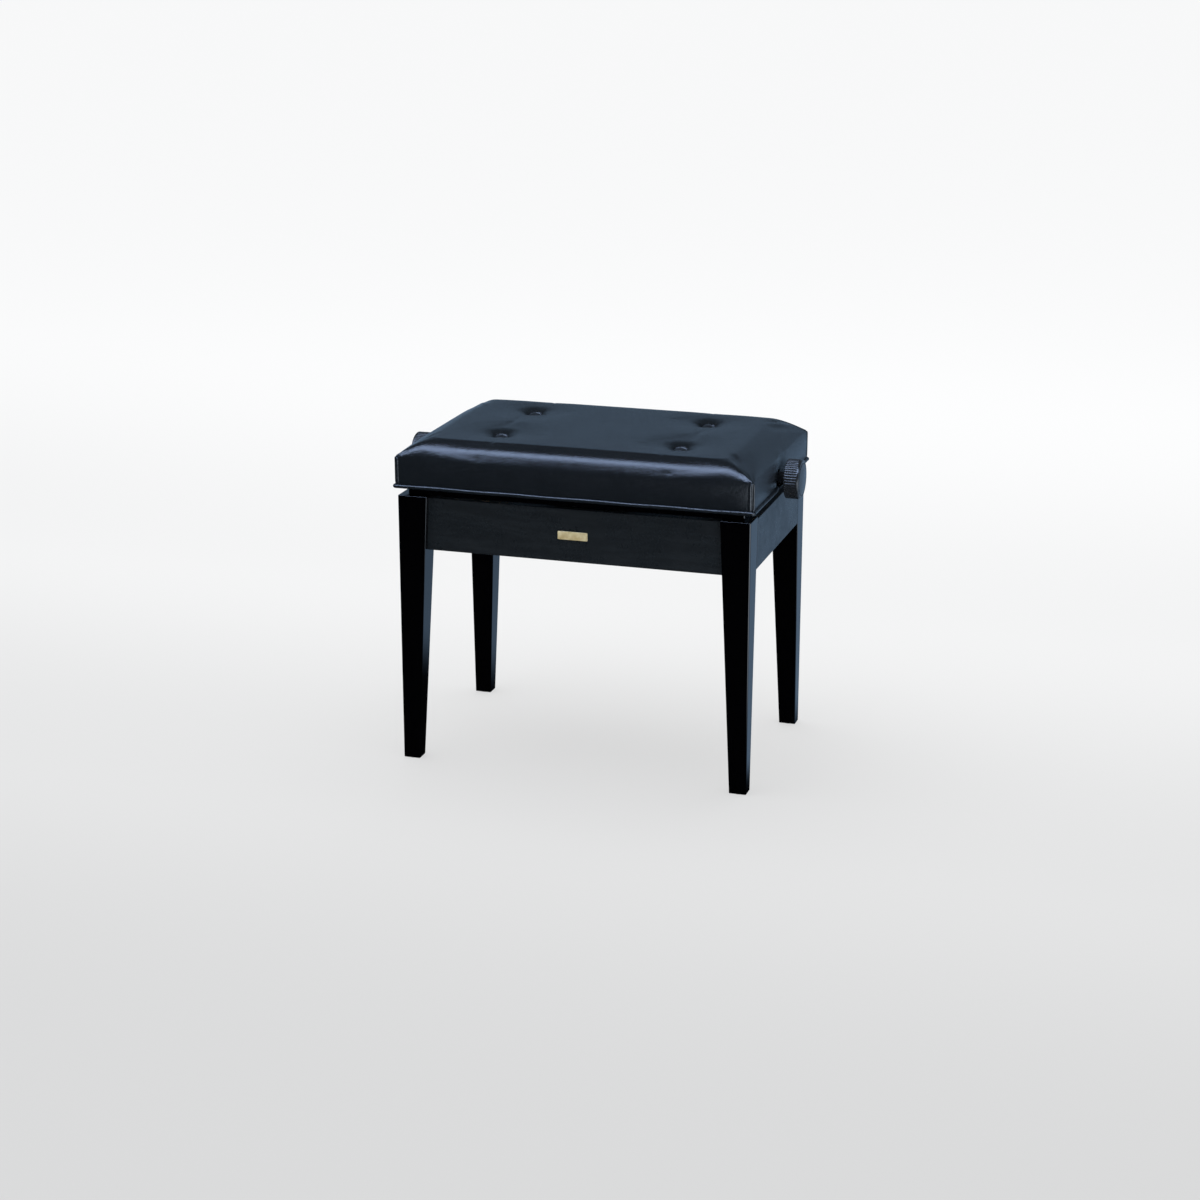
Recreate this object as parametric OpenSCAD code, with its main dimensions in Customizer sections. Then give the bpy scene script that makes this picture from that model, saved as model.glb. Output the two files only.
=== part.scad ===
// Adjustable piano bench: a four-legged wooden frame, a padded seat with tufted vinyl cover, and
// under it a scissor lift driven by a screw spindle with a hand knob at each end.
// Millimetres, +Z up. The origin is on the floor under the middle of the frame; X runs along the
// spindle and the player sits with the knobs to the left and right. Drawn with the seat lowest.

/* [Frame] */
// Width over the legs, left to right
frame_w = 520; // [430:5:640]
// Depth over the legs, front to back
frame_d = 330; // [270:5:400]
// Height of the leg tops above the floor
frame_h = 400; // [330:5:480]
// Width of a leg at its top, along X
leg_top_w = 44; // [36:1:53]
// Depth of a leg at its top, along Y
leg_top_d = 40; // [33:1:48]
// Width of a leg at the floor
leg_foot_w = 25; // [20:1:30]
// Depth of a leg at the floor
leg_foot_d = 22; // [18:1:27]
// Radius on the outer upright edge of a leg
leg_edge_r = 2; // [1:0.5:4]
// Thickness of the four aprons
apron_t = 18; // [15:1:22]
// Height of the front and back aprons
long_apron_h = 77; // [70:1:93]
// Height of the side aprons
side_apron_h = 73; // [68:1:88]
// How far the front and back aprons stand back from the legs' faces
apron_recess = 9; // [5:1:12]
// How far the aprons' top edges lie below the leg tops
apron_drop = 3; // [1:0.5:5]

/* [Joinery] */
// Diameter of the wooden dowels in the apron joints
dowel_d = 8; // [6:1:10]
// Length of a dowel, half of it in the leg
dowel_l = 30; // [24:2:36]
// Height of the lower dowel above an apron's bottom edge
dowel_rise = 14; // [12:1:18]
// Distance between the two dowels of a joint
dowel_pitch = 22; // [18:1:26]
// Width of a corner block's glued face
block_face = 28; // [24:1:33]
// Height of a corner block
block_h = 32; // [27:1:38]
// Clearance between a corner block and the leg's inner corner
block_gap = 3; // [2:0.5:6]
// Clearance between a corner block's top and the leg tops
block_drop = 5; // [4:1:8]
// Thread diameter of the hanger bolts
hanger_d = 6; // [5:1:8]
// Length of a hanger bolt in the leg
hanger_in_leg = 20; // [15:1:24]
// Shank diameter of the wood screws
screw_d = 4; // [3:0.5:5]
// Head diameter of the wood screws
screw_head_d = 8; // [7:0.5:10]
// Thickness of a wood screw's head
screw_head_h = 2.4; // [2:0.2:3]
// Diameter of a foot glide
glide_d = 17; // [12:1:17]
// Height of a foot glide
glide_h = 2.5; // [2:0.5:5]

/* [Nameplate] */
// Width of the plain brass plate on the front apron
plate_w = 44; // [36:1:53]
// Height of the plate
plate_h = 12; // [10:1:15]
// Thickness of the plate
plate_t = 1; // [0.8:0.1:1.5]

/* [Seat] */
// How far the cushion stands out past the legs at each side
overhang_side = 3; // [1:0.5:8]
// How far the cushion stands out past the legs at front and back
overhang_front = 1; // [1:0.5:8]
// Thickness of the recessed base boards
board_t = 11; // [9:1:14]
// Width of a base board
board_w = 44; // [40:1:53]
// How far the base boards stand back from the legs' outer faces
board_inset = 12; // [10:1:14]
// Thickness of the seat box rails
seat_rail_t = 18; // [15:1:22]
// Thickness of the plywood seat panel
panel_t = 10; // [8:1:12]
// Vinyl and wadding round the sides of the seat box
wrap_t = 4; // [3:0.5:5]
// Thickness of the vinyl over the foam
vinyl_t = 2; // [1.5:0.5:3]
// Height of the cushion's side border above the base boards
border_h = 47; // [44:1:56]
// Rise of the cushion's crown along its width
crown_rise = 22; // [18:1:27]
// Radius of the cushion's upright corners
cushion_r = 7; // [6:1:9]
// Diameter of the piping round the bottom edge
piping_d = 6; // [5:0.5:7]
// Depth of the rebate that the piping lies in
piping_seat = 2; // [1:0.5:3]
// Diameter of the piping in the corner seams
seam_d = 3; // [2:0.5:4]
// Spacing of the tufting buttons along X
tuft_x = 268; // [225:1:320]
// Spacing of the tufting buttons along Y
tuft_y = 150; // [125:1:180]
// Depth of a tuft below the cushion's crown edge height
tuft_sink = 0; // [-3:0.5:3]
// Diameter of a tufting button
button_d = 16; // [14:1:19]
// Height of a tufting button
button_h = 5; // [4:0.5:6]
// Diameter of the hollow round a button
hollow_d = 30; // [25:1:36]
// Diameter of the twine that holds a button down
twine_d = 2.5; // [2:0.5:3]
// Diameter of the washer that the twine is tied to
twine_washer_d = 16; // [14:1:19]
// Thickness of that washer
twine_washer_t = 1.5; // [1:0.5:2]

/* [Lift] */
// Clearance between the upper rails and the base boards under them
rail_clear = 1.7; // [1:0.1:3]
// Distance between the end pins of a scissor arm
arm_l = 340; // [285:5:408]
// Width of an arm
arm_w = 22; // [20:1:26]
// Thickness of an arm
arm_t = 4; // [3:0.5:5]
// Thickness of the washer between crossing arms
arm_gap = 2; // [1:0.5:3]
// Space between the rails and the long aprons
rail_gap = 26; // [20:1:31]
// Inside width of a rail
rail_w = 13; // [12:1:16]
// Sheet thickness of the rails
rail_t = 2; // [1.5:0.5:2.5]
// Height of the lower rails above the side aprons' lower edge
rail_lift = 5; // [4:1:8]
// Diameter of the rollers
roller_d = 20; // [17:1:23]
// Width of a roller
roller_w = 10; // [8:1:11]
// Play above and below a roller in its lower rail
lower_play = 0.9; // [0.8:0.1:1.2]
// Play above and below a roller in its upper rail
upper_play = 0.3; // [0.2:0.1:0.5]
// Diameter of the rods and pins in the arms
rod_d = 10; // [8:1:12]
// Radial clearance of an arm on the centre rod
pivot_play = 0.05; // [0.02:0.01:0.1]
// Half the clearance across an arm's open upper eye
eye_play = 0.8; // [0.7:0.1:1]
// Length that an arm's open upper eye adds along the arm
eye_slot = 3; // [2.6:0.2:4]
// How far an upper rail runs on past the arms' pins
rail_over = 35; // [30:1:42]
// Thickness of the cross member and the guide plates
guide_t = 3; // [2.5:0.5:4]
// Width of the cross member and the guide plates
guide_w = 30; // [26:1:36]
// Space between an inner arm and its guide plate
guide_gap = 5; // [3:1:8]
// Length of the vertical slot in a guide plate
guide_slot = 46; // [44:1:56]
// Clearance of the centre rod in the guide slots, each side
guide_play = 0.2; // [0.1:0.1:0.4]
// Wall of the square nut bars over and under the spindle
nut_wall = 2; // [1.7:0.1:3]
// Travel of the seat from lowest to highest
lift_travel = 80; // [66:1:84]

/* [Spindle] */
// Diameter of the spindle
spindle_d = 12; // [10:1:14]
// Radial running clearance of the spindle in bearings and nuts
spindle_play = 0.05; // [0.02:0.01:0.1]
// Wall of a bearing bush
bush_wall = 3; // [2.5:0.5:4]
// Width of a bearing's flange round its bush
flange_rim = 8; // [7:0.5:9.5]
// Thickness of a bearing's flange
flange_t = 3; // [2:0.5:4]
// Diameter of the pocket that a side rail has round its bearing
pocket_d = 46; // [38:1:56]
// Depth of that pocket from the rail's outer face
pocket_depth = 7; // [5:1:9]
// Clearance of the notch in the cover round a knob's hub
notch_play = 4; // [3:0.5:5]
// Diameter of a hand knob
knob_d = 57; // [48:1:68]
// Thickness of a hand knob
knob_t = 21; // [17:1:25]
// Number of flutes round a knob
flutes = 44; // [36:1:53]
// Diameter of a flute
flute_d = 2.6; // [2:0.2:3.2]
// Space between the piping and a knob
knob_gap = 5; // [3:0.5:9]
// Diameter of a knob's end cap
cap_d = 46; // [38:1:48]
// Rise of an end cap out of its knob
cap_rise = 2.5; // [2:0.5:3]
// Space between a thrust collar and the seat panel
collar_gap = 0.3; // [0.2:0.1:1]
// Width of a thrust collar
collar_w = 8; // [7:1:10]
// End play of the spindle between its collars
end_play = 0.3; // [0.2:0.1:0.5]
// Diameter of the set screws in knobs and collars
set_screw_d = 4; // [3:0.5:5]

/* [Hidden] */
$fn = 48;

black_lacquer = [0.03, 0.03, 0.035];
black_satin = [0.08, 0.09, 0.1];
plywood = [0.72, 0.58, 0.4];
steel = [0.62, 0.63, 0.65];
nylon = [0.85, 0.84, 0.78];
vinyl = [0.06, 0.08, 0.11];
brass = [0.75, 0.6, 0.25];

// Aprons
apron_top = frame_h - apron_drop;
long_bottom = apron_top - long_apron_h;
side_bottom = apron_top - side_apron_h;
long_apron_y = frame_d / 2 - apron_recess - apron_t;
side_apron_x = frame_w / 2 - apron_t;
joint_tip = leg_top_w + leg_top_d + block_gap;

// Seat, from the base boards up
seat_z = frame_h + board_t;
axle_rise = roller_d / 2 + upper_play + rail_t + rail_clear;
axle_z = seat_z + axle_rise;
panel_z = axle_z + roller_d / 2 + upper_play + rail_t;
border_z = seat_z + border_h;
seat_w = frame_w + 2 * overhang_side;
seat_d = frame_d + 2 * overhang_front;
box_w = seat_w - 2 * wrap_t;
box_d = seat_d - 2 * wrap_t;
box_r = cushion_r - wrap_t;
board_out_w = frame_w - 2 * board_inset;
board_out_d = frame_d - 2 * board_inset;
piping_line = -piping_seat + piping_d / 2;
rebate_h = piping_d + 0.5;
tuft_z = border_z - tuft_sink;
screw_l = 22;

// Lift: rails, arms and nuts
rail_y = long_apron_y - rail_gap;
low_z = side_bottom + rail_lift + rail_t + lower_play + roller_d / 2;
roller_y = rail_y - rail_t - 1 - roller_w;
outer_y = roller_y - 2 - arm_t;
inner_y = outer_y - arm_gap - arm_t;
guide_y = inner_y - guide_gap - guide_t;
pin_rise = axle_z - low_z;
arm_angle = asin(pin_rise / arm_l);
pin_x = arm_l / 2 * cos(arm_angle);
upper_rail_l = 2 * (pin_x + rail_over);
centre_z = (axle_z + low_z) / 2;
nut_side = spindle_d + 2 * nut_wall;

// Spindle
bush_d = spindle_d + 2 * bush_wall;
flange_d = bush_d + 2 * flange_rim;
notch_d = bush_d + 2 * notch_play;
collar_d = 2 * (panel_z - axle_z - collar_gap);
bearing_x = box_w / 2 - pocket_depth;
bush_l = seat_rail_t - pocket_depth;
knob_x = seat_w / 2 + piping_line + piping_d / 2 + knob_gap;
spindle_end = knob_x + knob_t - 5;
hub_l = knob_x - bearing_x - flange_t - end_play;
collar_x = bearing_x - bush_l - end_play - collar_w;

function leg_w(z) = leg_foot_w + (leg_top_w - leg_foot_w) * z / frame_h;
function leg_d(z) = leg_foot_d + (leg_top_d - leg_foot_d) * z / frame_h;
function crown_r(half, rise) = (half * half + rise * rise) / (2 * rise);

// Mirrors its children from the front-left to the other three corners
module at_corner(sx, sy) {
    translate([sx * frame_w / 2, sy * frame_d / 2, 0])
        mirror([sx > 0 ? 1 : 0, 0, 0]) mirror([0, sy > 0 ? 1 : 0, 0]) children();
}

module each_corner() {
    for (sx = [-1, 1], sy = [-1, 1]) at_corner(sx, sy) children();
}

// The same piece at the right and, mirrored, at the left
module both_sides() {
    children();
    mirror([1, 0, 0]) children();
}

module front_and_back() {
    children();
    mirror([0, 1, 0]) children();
}

module along_x(d, l) { rotate([0, 90, 0]) cylinder(d = d, h = l); }
module along_y(d, l) { rotate([-90, 0, 0]) cylinder(d = d, h = l); }

module rounded_rect(w, d, r) {
    square([w - 2 * r, d], center = true);
    square([w, d - 2 * r], center = true);
    for (x = [-1, 1], y = [-1, 1]) translate([x * (w / 2 - r), y * (d / 2 - r)]) circle(r);
}

// A countersunk wood screw along +Z with its head's top at z = 0, or a bore that fits it
module wood_screw(l = screw_l) {
    translate([0, 0, -l]) cylinder(d = screw_d, h = l - screw_head_h);
    translate([0, 0, -screw_head_h]) cylinder(d = screw_head_d, h = screw_head_h);
}

// ---- Wooden frame ----

module long_dowels() {
    for (z = [long_bottom + dowel_rise, long_bottom + dowel_rise + dowel_pitch])
        translate([leg_w(z) - dowel_l / 2, apron_recess + apron_t / 2, z]) along_x(dowel_d, dowel_l);
}

module side_dowels() {
    for (z = [side_bottom + dowel_rise, side_bottom + dowel_rise + dowel_pitch])
        translate([apron_t / 2, leg_d(z) - dowel_l / 2, z]) along_y(dowel_d, dowel_l);
}

// The hanger bolt's line: from the corner block's middle, level, into the leg's inner corner
module on_bolt_line() {
    z = frame_h - block_drop - block_h / 2;
    spread = (leg_w(z) - leg_d(z)) / 2;
    translate([leg_w(z) - spread, leg_d(z) + spread, z]) rotate([0, 0, 45]) children();
}

module hanger_shank(d) {
    l = hanger_in_leg + block_face + block_gap + 8;
    on_bolt_line() translate([-hanger_in_leg, 0, 0]) along_x(d, l);
}

module leg() {
    color(black_lacquer) difference() {
        intersection() {
            translate([0, leg_top_d, 0]) rotate([90, 0, 0]) linear_extrude(leg_top_d)
                polygon([[0, glide_h], [leg_w(glide_h), glide_h], [leg_top_w, frame_h], [0, frame_h]]);
            rotate([90, 0, 90]) linear_extrude(leg_top_w)
                polygon([[0, glide_h], [leg_d(glide_h), glide_h], [leg_top_d, frame_h], [0, frame_h]]);
            linear_extrude(frame_h) {
                translate([leg_edge_r, 0]) square([leg_top_w - leg_edge_r, leg_top_d]);
                translate([0, leg_edge_r]) square([leg_top_w, leg_top_d - leg_edge_r]);
                translate([leg_edge_r, leg_edge_r]) circle(leg_edge_r);
            }
        }
        long_dowels();
        side_dowels();
        hanger_shank(hanger_d);
    }
}

// Front apron, cut at both ends to the slope of the legs
module long_apron() {
    half = frame_w / 2;
    color(black_satin) difference() {
        translate([0, -long_apron_y, 0]) rotate([90, 0, 0]) linear_extrude(apron_t) polygon([
            [-half + leg_w(long_bottom), long_bottom], [half - leg_w(long_bottom), long_bottom],
            [half - leg_w(apron_top), apron_top], [-half + leg_w(apron_top), apron_top]]);
        for (sx = [-1, 1]) at_corner(sx, -1) {
            long_dowels();
            long_block_screw();
        }
    }
}

module side_apron() {
    half = frame_d / 2;
    color(black_satin) difference() {
        translate([side_apron_x, 0, 0]) rotate([90, 0, 90]) linear_extrude(apron_t) polygon([
            [-half + leg_d(side_bottom), side_bottom], [half - leg_d(side_bottom), side_bottom],
            [half - leg_d(apron_top), apron_top], [-half + leg_d(apron_top), apron_top]]);
        for (sy = [-1, 1]) at_corner(1, sy) {
            side_dowels();
            side_block_screw();
        }
        front_and_back() lower_rail_screws();
    }
}

module apron_dowels() {
    color(plywood) each_corner() {
        long_dowels();
        side_dowels();
    }
}

// Diagonal corner block, glued and screwed to both aprons behind the leg
module corner_block() {
    long_face = apron_recess + apron_t;
    color(plywood) difference() {
        translate([0, 0, frame_h - block_drop - block_h]) linear_extrude(block_h) polygon([
            [apron_t, joint_tip - apron_t], [apron_t, joint_tip + block_face - apron_t],
            [joint_tip + block_face - long_face, long_face], [joint_tip - long_face, long_face]]);
        hanger_shank(hanger_d + 1);
        side_block_screw();
        long_block_screw();
        screw_pockets();
    }
}

// The two screws of a corner block, one square to each apron
block_screw_z = frame_h - block_drop - block_h / 2 - 9;
block_screw_in = 12;

module side_block_screw() {
    translate([apron_t + block_screw_in, joint_tip + block_face / 2 - apron_t, block_screw_z])
        rotate([0, 90, 0]) wood_screw();
}

module long_block_screw() {
    long_face = apron_recess + apron_t;
    translate([joint_tip + block_face / 2 - long_face, long_face + block_screw_in, block_screw_z])
        rotate([-90, 0, 0]) wood_screw();
}

// Clears the driver's way to both screw heads
module screw_pockets() {
    long_face = apron_recess + apron_t;
    translate([apron_t + block_screw_in, joint_tip + block_face / 2 - apron_t, block_screw_z])
        along_x(screw_head_d, block_face);
    translate([joint_tip + block_face / 2 - long_face, long_face + block_screw_in, block_screw_z])
        along_y(screw_head_d, block_face);
}

module hanger_bolts() {
    nut_at = (joint_tip + block_face) / sqrt(2) - (leg_w(hanger_z()) + leg_d(hanger_z())) / sqrt(2);
    color(steel) each_corner() {
        hanger_shank(hanger_d);
        on_bolt_line() translate([nut_at, 0, 0]) difference() {
            union() {
                along_x(hanger_d * 2.4, 1.5);
                translate([1.5, 0, 0]) rotate([0, 90, 0]) cylinder(d = hanger_d * 1.85, h = 5, $fn = 6);
            }
            translate([-1, 0, 0]) along_x(hanger_d, 10);
        }
    }
}

function hanger_z() = frame_h - block_drop - block_h / 2;

module foot_glides() {
    color([0.1, 0.1, 0.1]) each_corner()
        translate([leg_foot_w / 2, leg_foot_d / 2, 0]) cylinder(d = glide_d, h = glide_h);
}

module nameplate() {
    color(brass) translate([-plate_w / 2, -long_apron_y - apron_t - plate_t,
        (apron_top + long_bottom) / 2 - plate_h / 2]) cube([plate_w, plate_t, plate_h]);
}

// ---- Lower rails and centre guide ----

// C-section open towards the middle of the bench, its rollers' centre line at y = 0, z = 0
module channel(l, play) {
    h = roller_d + 2 * play;
    translate([-l / 2, 0, 0]) difference() {
        translate([0, -rail_y, -h / 2 - rail_t]) cube([l, rail_w + rail_t, h + 2 * rail_t]);
        translate([-1, -rail_y + rail_t, -h / 2]) cube([l + 2, rail_w + 1, h]);
    }
}

rail_end = side_apron_x - rail_t;
tab_y = -rail_y + rail_t + rail_w / 2;

// End tabs of the lower rails, screwed to the side aprons
module lower_rail_screws() {
    for (z = [-5.5, 5.5]) translate([rail_end - screw_head_h, tab_y, low_z + z])
        rotate([0, -90, 0]) wood_screw(16);
}

module lower_rail() {
    h = roller_d + 2 * lower_play;
    color(steel) difference() {
        translate([0, 0, low_z]) union() {
            channel(2 * side_apron_x, lower_play);
            both_sides() translate([rail_end, -rail_y + rail_t, -h / 2]) cube([rail_t, rail_w, h]);
        }
        both_sides() lower_rail_screws();
    }
}

cross_z = low_z - roller_d / 2 - lower_play - rail_t - guide_t;

module cross_member() {
    color(steel) difference() {
        translate([-guide_w / 2, -rail_y, cross_z]) cube([guide_w, 2 * rail_y, guide_t]);
        front_and_back() guide_rivets();
    }
}

// Rivets that join a guide plate's foot to the cross member
module guide_rivets() {
    for (x = [-8, 8]) translate([x, -guide_y + 8, cross_z]) cylinder(d = 4, h = 2 * guide_t);
}

// Angle with a foot on the cross member and a slot that keeps the centre rod upright
module guide_plate() {
    foot_z = cross_z + guide_t;
    top = centre_z + guide_slot - 2;
    slot_w = rod_d + 2 * guide_play;
    color(steel) union() {
        difference() {
            union() {
                translate([-guide_w / 2, -guide_y - guide_t, foot_z]) cube([guide_w, guide_t, top - foot_z]);
                translate([-guide_w / 2, -guide_y - guide_t, foot_z]) cube([guide_w, 18, guide_t]);
            }
            translate([0, -guide_y - 2 * guide_t, centre_z - 2]) {
                along_y(slot_w, 3 * guide_t);
                translate([0, 0, lift_travel / 2 + 4]) along_y(slot_w, 3 * guide_t);
                translate([-slot_w / 2, 0, 0]) cube([slot_w, 3 * guide_t, lift_travel / 2 + 4]);
            }
            guide_rivets();
        }
        guide_rivets();
    }
}

// Wood screws of the frame: two in each corner block, two at each end of each lower rail
module frame_screws() {
    color(steel) {
        each_corner() {
            side_block_screw();
            long_block_screw();
        }
        front_and_back() both_sides() lower_rail_screws();
    }
}

// ---- Seat box ----

module base_board_long() {
    color(black_lacquer) translate([-board_out_w / 2, -board_out_d / 2, frame_h]) difference() {
        cube([board_out_w, board_w, board_t]);
        translate([board_out_w / 2, board_out_d / 2, -frame_h]) board_screws();
    }
}

module base_board_side() {
    l = board_out_d - 2 * board_w;
    color(black_lacquer) difference() {
        translate([board_out_w / 2 - board_w, -l / 2, frame_h]) cube([board_w, l, board_t]);
        board_screws();
    }
}

// Screws up through the base boards into the seat box rails
module board_screws() {
    long_line = (board_out_d / 2 + box_d / 2 - seat_rail_t) / 2;
    side_line = (board_out_w / 2 + box_w / 2 - seat_rail_t) / 2;
    for (x = [-box_w / 2 + 60, 0, box_w / 2 - 60], y = [-long_line, long_line])
        translate([x, y, frame_h]) mirror([0, 0, 1]) wood_screw();
    for (x = [-side_line, side_line], y = [-70, 70])
        translate([x, y, frame_h]) mirror([0, 0, 1]) wood_screw();
}

module seat_rail_long() {
    color(plywood) difference() {
        intersection() {
            translate([-box_w / 2, -box_d / 2, seat_z]) cube([box_w, seat_rail_t, panel_z - seat_z]);
            translate([0, 0, seat_z]) linear_extrude(panel_z) rounded_rect(box_w, box_d, box_r);
        }
        board_screws();
        panel_screws();
    }
}

module seat_rail_side() {
    l = box_d - 2 * seat_rail_t;
    color(plywood) difference() {
        translate([box_w / 2 - seat_rail_t, -l / 2, seat_z]) cube([seat_rail_t, l, panel_z - seat_z]);
        board_screws();
        panel_screws();
        translate([box_w / 2 - seat_rail_t - 1, 0, axle_z]) along_x(bush_d, seat_rail_t + 2);
        bearing_pocket();
    }
}

// Round pocket for a bearing's flange, in the side rail and the panel's edge above it
module bearing_pocket() {
    translate([bearing_x, 0, axle_z]) along_x(pocket_d, pocket_depth + 1);
}

// Screws down through the panel into the rails
module panel_screws() {
    line_y = box_d / 2 - seat_rail_t / 2;
    line_x = box_w / 2 - seat_rail_t / 2;
    for (x = [-box_w / 3, 0, box_w / 3], y = [-line_y, line_y])
        translate([x, y, panel_z + panel_t]) wood_screw();
    for (x = [-line_x, line_x], y = [-box_d / 4, box_d / 4])
        translate([x, y, panel_z + panel_t]) wood_screw();
}

// Screws up through the upper rails' flanges into the panel
module upper_rail_screws() {
    for (x = [-upper_rail_l / 2 + 15, 0, upper_rail_l / 2 - 15])
        translate([x, tab_y, panel_z - rail_t]) mirror([0, 0, 1]) wood_screw(panel_t);
}

module seat_screws() {
    color(steel) {
        board_screws();
        panel_screws();
        front_and_back() upper_rail_screws();
    }
}

module at_tufts() {
    for (x = [-tuft_x / 2, tuft_x / 2], y = [-tuft_y / 2, tuft_y / 2]) translate([x, y, 0]) children();
}

module seat_panel() {
    color(plywood) difference() {
        translate([0, 0, panel_z]) linear_extrude(panel_t) rounded_rect(box_w, box_d, box_r);
        panel_screws();
        front_and_back() upper_rail_screws();
        at_tufts() {
            translate([0, 0, panel_z - 1]) cylinder(d = twine_d, h = panel_t + 2);
            translate([0, 0, panel_z - 1]) cylinder(d = twine_washer_d, h = twine_washer_t + 1);
        }
        both_sides() bearing_pocket();
    }
}

// Two wide shallow arches that meet: the crowned top of the cushion, lowered by drop
module crown(drop) {
    across = crown_r(seat_w / 2, crown_rise);
    along = crown_r(seat_d / 2, crown_rise);
    intersection() {
        translate([0, seat_d, border_z + crown_rise - across - drop]) rotate([90, 0, 0])
            cylinder(r = across, h = 2 * seat_d, $fn = 1080);
        translate([-seat_w, 0, border_z + crown_rise - along - drop]) rotate([0, 90, 0])
            cylinder(r = along, h = 2 * seat_w, $fn = 1080);
    }
}

module foam_pad() {
    color([0.9, 0.85, 0.6]) difference() {
        intersection() {
            translate([0, 0, panel_z + panel_t]) linear_extrude(border_h) rounded_rect(box_w, box_d, box_r);
            crown(vinyl_t);
        }
        at_tufts() {
            translate([0, 0, tuft_z - vinyl_t]) cylinder(d = hollow_d + 2 * vinyl_t, h = border_h);
            translate([0, 0, panel_z]) cylinder(d = twine_d, h = border_h);
        }
    }
}

// Sides, crowned top and the cups of the four tufts, notched at both bearings
module vinyl_cover() {
    color(vinyl) difference() {
        union() {
            difference() {
                intersection() {
                    union() {
                        translate([0, 0, seat_z]) linear_extrude(border_h) rounded_rect(
                            seat_w - 2 * piping_seat, seat_d - 2 * piping_seat, cushion_r - piping_seat);
                        translate([0, 0, seat_z + rebate_h]) linear_extrude(border_h + crown_rise)
                            rounded_rect(seat_w, seat_d, cushion_r);
                    }
                    crown(0);
                }
                intersection() {
                    translate([0, 0, seat_z - 1]) linear_extrude(border_h + crown_rise)
                        rounded_rect(box_w, box_d, box_r);
                    crown(vinyl_t);
                }
            }
            intersection() {
                at_tufts() translate([0, 0, tuft_z - vinyl_t])
                    cylinder(d = hollow_d + 2 * vinyl_t, h = border_h);
                crown(0);
            }
        }
        at_tufts() {
            translate([0, 0, tuft_z]) cylinder(d = hollow_d, h = border_h);
            translate([0, 0, panel_z]) cylinder(d = twine_d, h = border_h);
        }
        both_sides() translate([seat_w / 2 - 2 * wrap_t, 0, axle_z]) {
            along_x(notch_d, 3 * wrap_t);
            translate([0, -notch_d / 2, -axle_rise - 1]) cube([3 * wrap_t, notch_d, axle_rise + 1]);
        }
    }
}

// Piping in straight runs and quarter rings, broken where the spindle leaves at each side
module bottom_piping() {
    run_x = seat_w / 2 - cushion_r;
    run_y = seat_d / 2 - cushion_r;
    ring = cushion_r + piping_line;
    color(vinyl) translate([0, 0, seat_z + piping_d / 2]) {
        for (s = [-1, 1]) translate([-run_x, s * (run_y + ring), 0]) along_x(piping_d, 2 * run_x);
        for (sx = [-1, 1], sy = [-1, 1]) translate([sx * (run_x + ring), 0, 0]) {
            y0 = notch_d / 2;
            translate([0, sy > 0 ? y0 : -run_y, 0]) along_y(piping_d, run_y - y0);
        }
        for (sx = [-1, 1], sy = [-1, 1]) mirror([sx < 0 ? 1 : 0, 0, 0]) mirror([0, sy < 0 ? 1 : 0, 0])
            translate([run_x, run_y, 0]) rotate_extrude(angle = 90) translate([ring, 0]) circle(d = piping_d);
    }
}

// Upright seams at the four corners, lying against the cover
module corner_piping() {
    reach = cushion_r + seam_d / 2;
    color(vinyl) for (sx = [-1, 1], sy = [-1, 1]) translate([
        sx * (seat_w / 2 - cushion_r + reach / sqrt(2)),
        sy * (seat_d / 2 - cushion_r + reach / sqrt(2)), seat_z + rebate_h + 1])
        cylinder(d = seam_d, h = border_h - rebate_h - 4);
}

module tuft_buttons() {
    color(vinyl) at_tufts() translate([0, 0, tuft_z]) intersection() {
        cylinder(d = button_d, h = button_h);
        translate([0, 0, button_h - button_d]) sphere(d = 2 * button_d);
    }
}

module tuft_twine() {
    color(nylon) at_tufts() translate([0, 0, panel_z + twine_washer_t])
        cylinder(d = twine_d, h = tuft_z - panel_z - twine_washer_t);
}

module twine_washers() {
    color(steel) at_tufts() translate([0, 0, panel_z]) cylinder(d = twine_washer_d, h = twine_washer_t);
}

module bearing() {
    color([0.12, 0.12, 0.12]) translate([bearing_x, 0, axle_z]) difference() {
        union() {
            translate([-bush_l, 0, 0]) along_x(bush_d, bush_l);
            along_x(flange_d, flange_t);
        }
        translate([-bush_l - 1, 0, 0]) along_x(spindle_d + 2 * spindle_play, bush_l + flange_t + 2);
    }
}

module upper_rail() {
    color(steel) difference() {
        translate([0, 0, axle_z]) channel(upper_rail_l, upper_play);
        upper_rail_screws();
    }
}

// ---- Spindle, knobs and nuts ----

module spindle_rod() {
    color(steel) translate([-spindle_end, 0, axle_z]) along_x(spindle_d, 2 * spindle_end);
}

// Fluted knob with a blind bore for the spindle and a recess for its cap
module knob() {
    color(black_satin) translate([knob_x, 0, axle_z]) difference() {
        union() {
            along_x(knob_d, knob_t);
            translate([-hub_l, 0, 0]) along_x(bush_d, hub_l);
        }
        for (i = [0 : flutes - 1]) rotate([i * 360 / flutes, 0, 0])
            translate([-1, 0, knob_d / 2 + flute_d / 4]) along_x(flute_d, knob_t + 2);
        translate([-hub_l - 1, 0, 0]) along_x(spindle_d, hub_l + 1 + spindle_end - knob_x);
        translate([spindle_end - knob_x, 0, 0]) along_x(cap_d, knob_t);
        translate([knob_t / 2, 0, spindle_d / 2]) cylinder(d = set_screw_d, h = knob_d);
    }
}

module knob_caps() {
    color(black_satin) both_sides() translate([spindle_end, 0, axle_z])
        along_x(cap_d, knob_x + knob_t - spindle_end + cap_rise);
}

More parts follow.
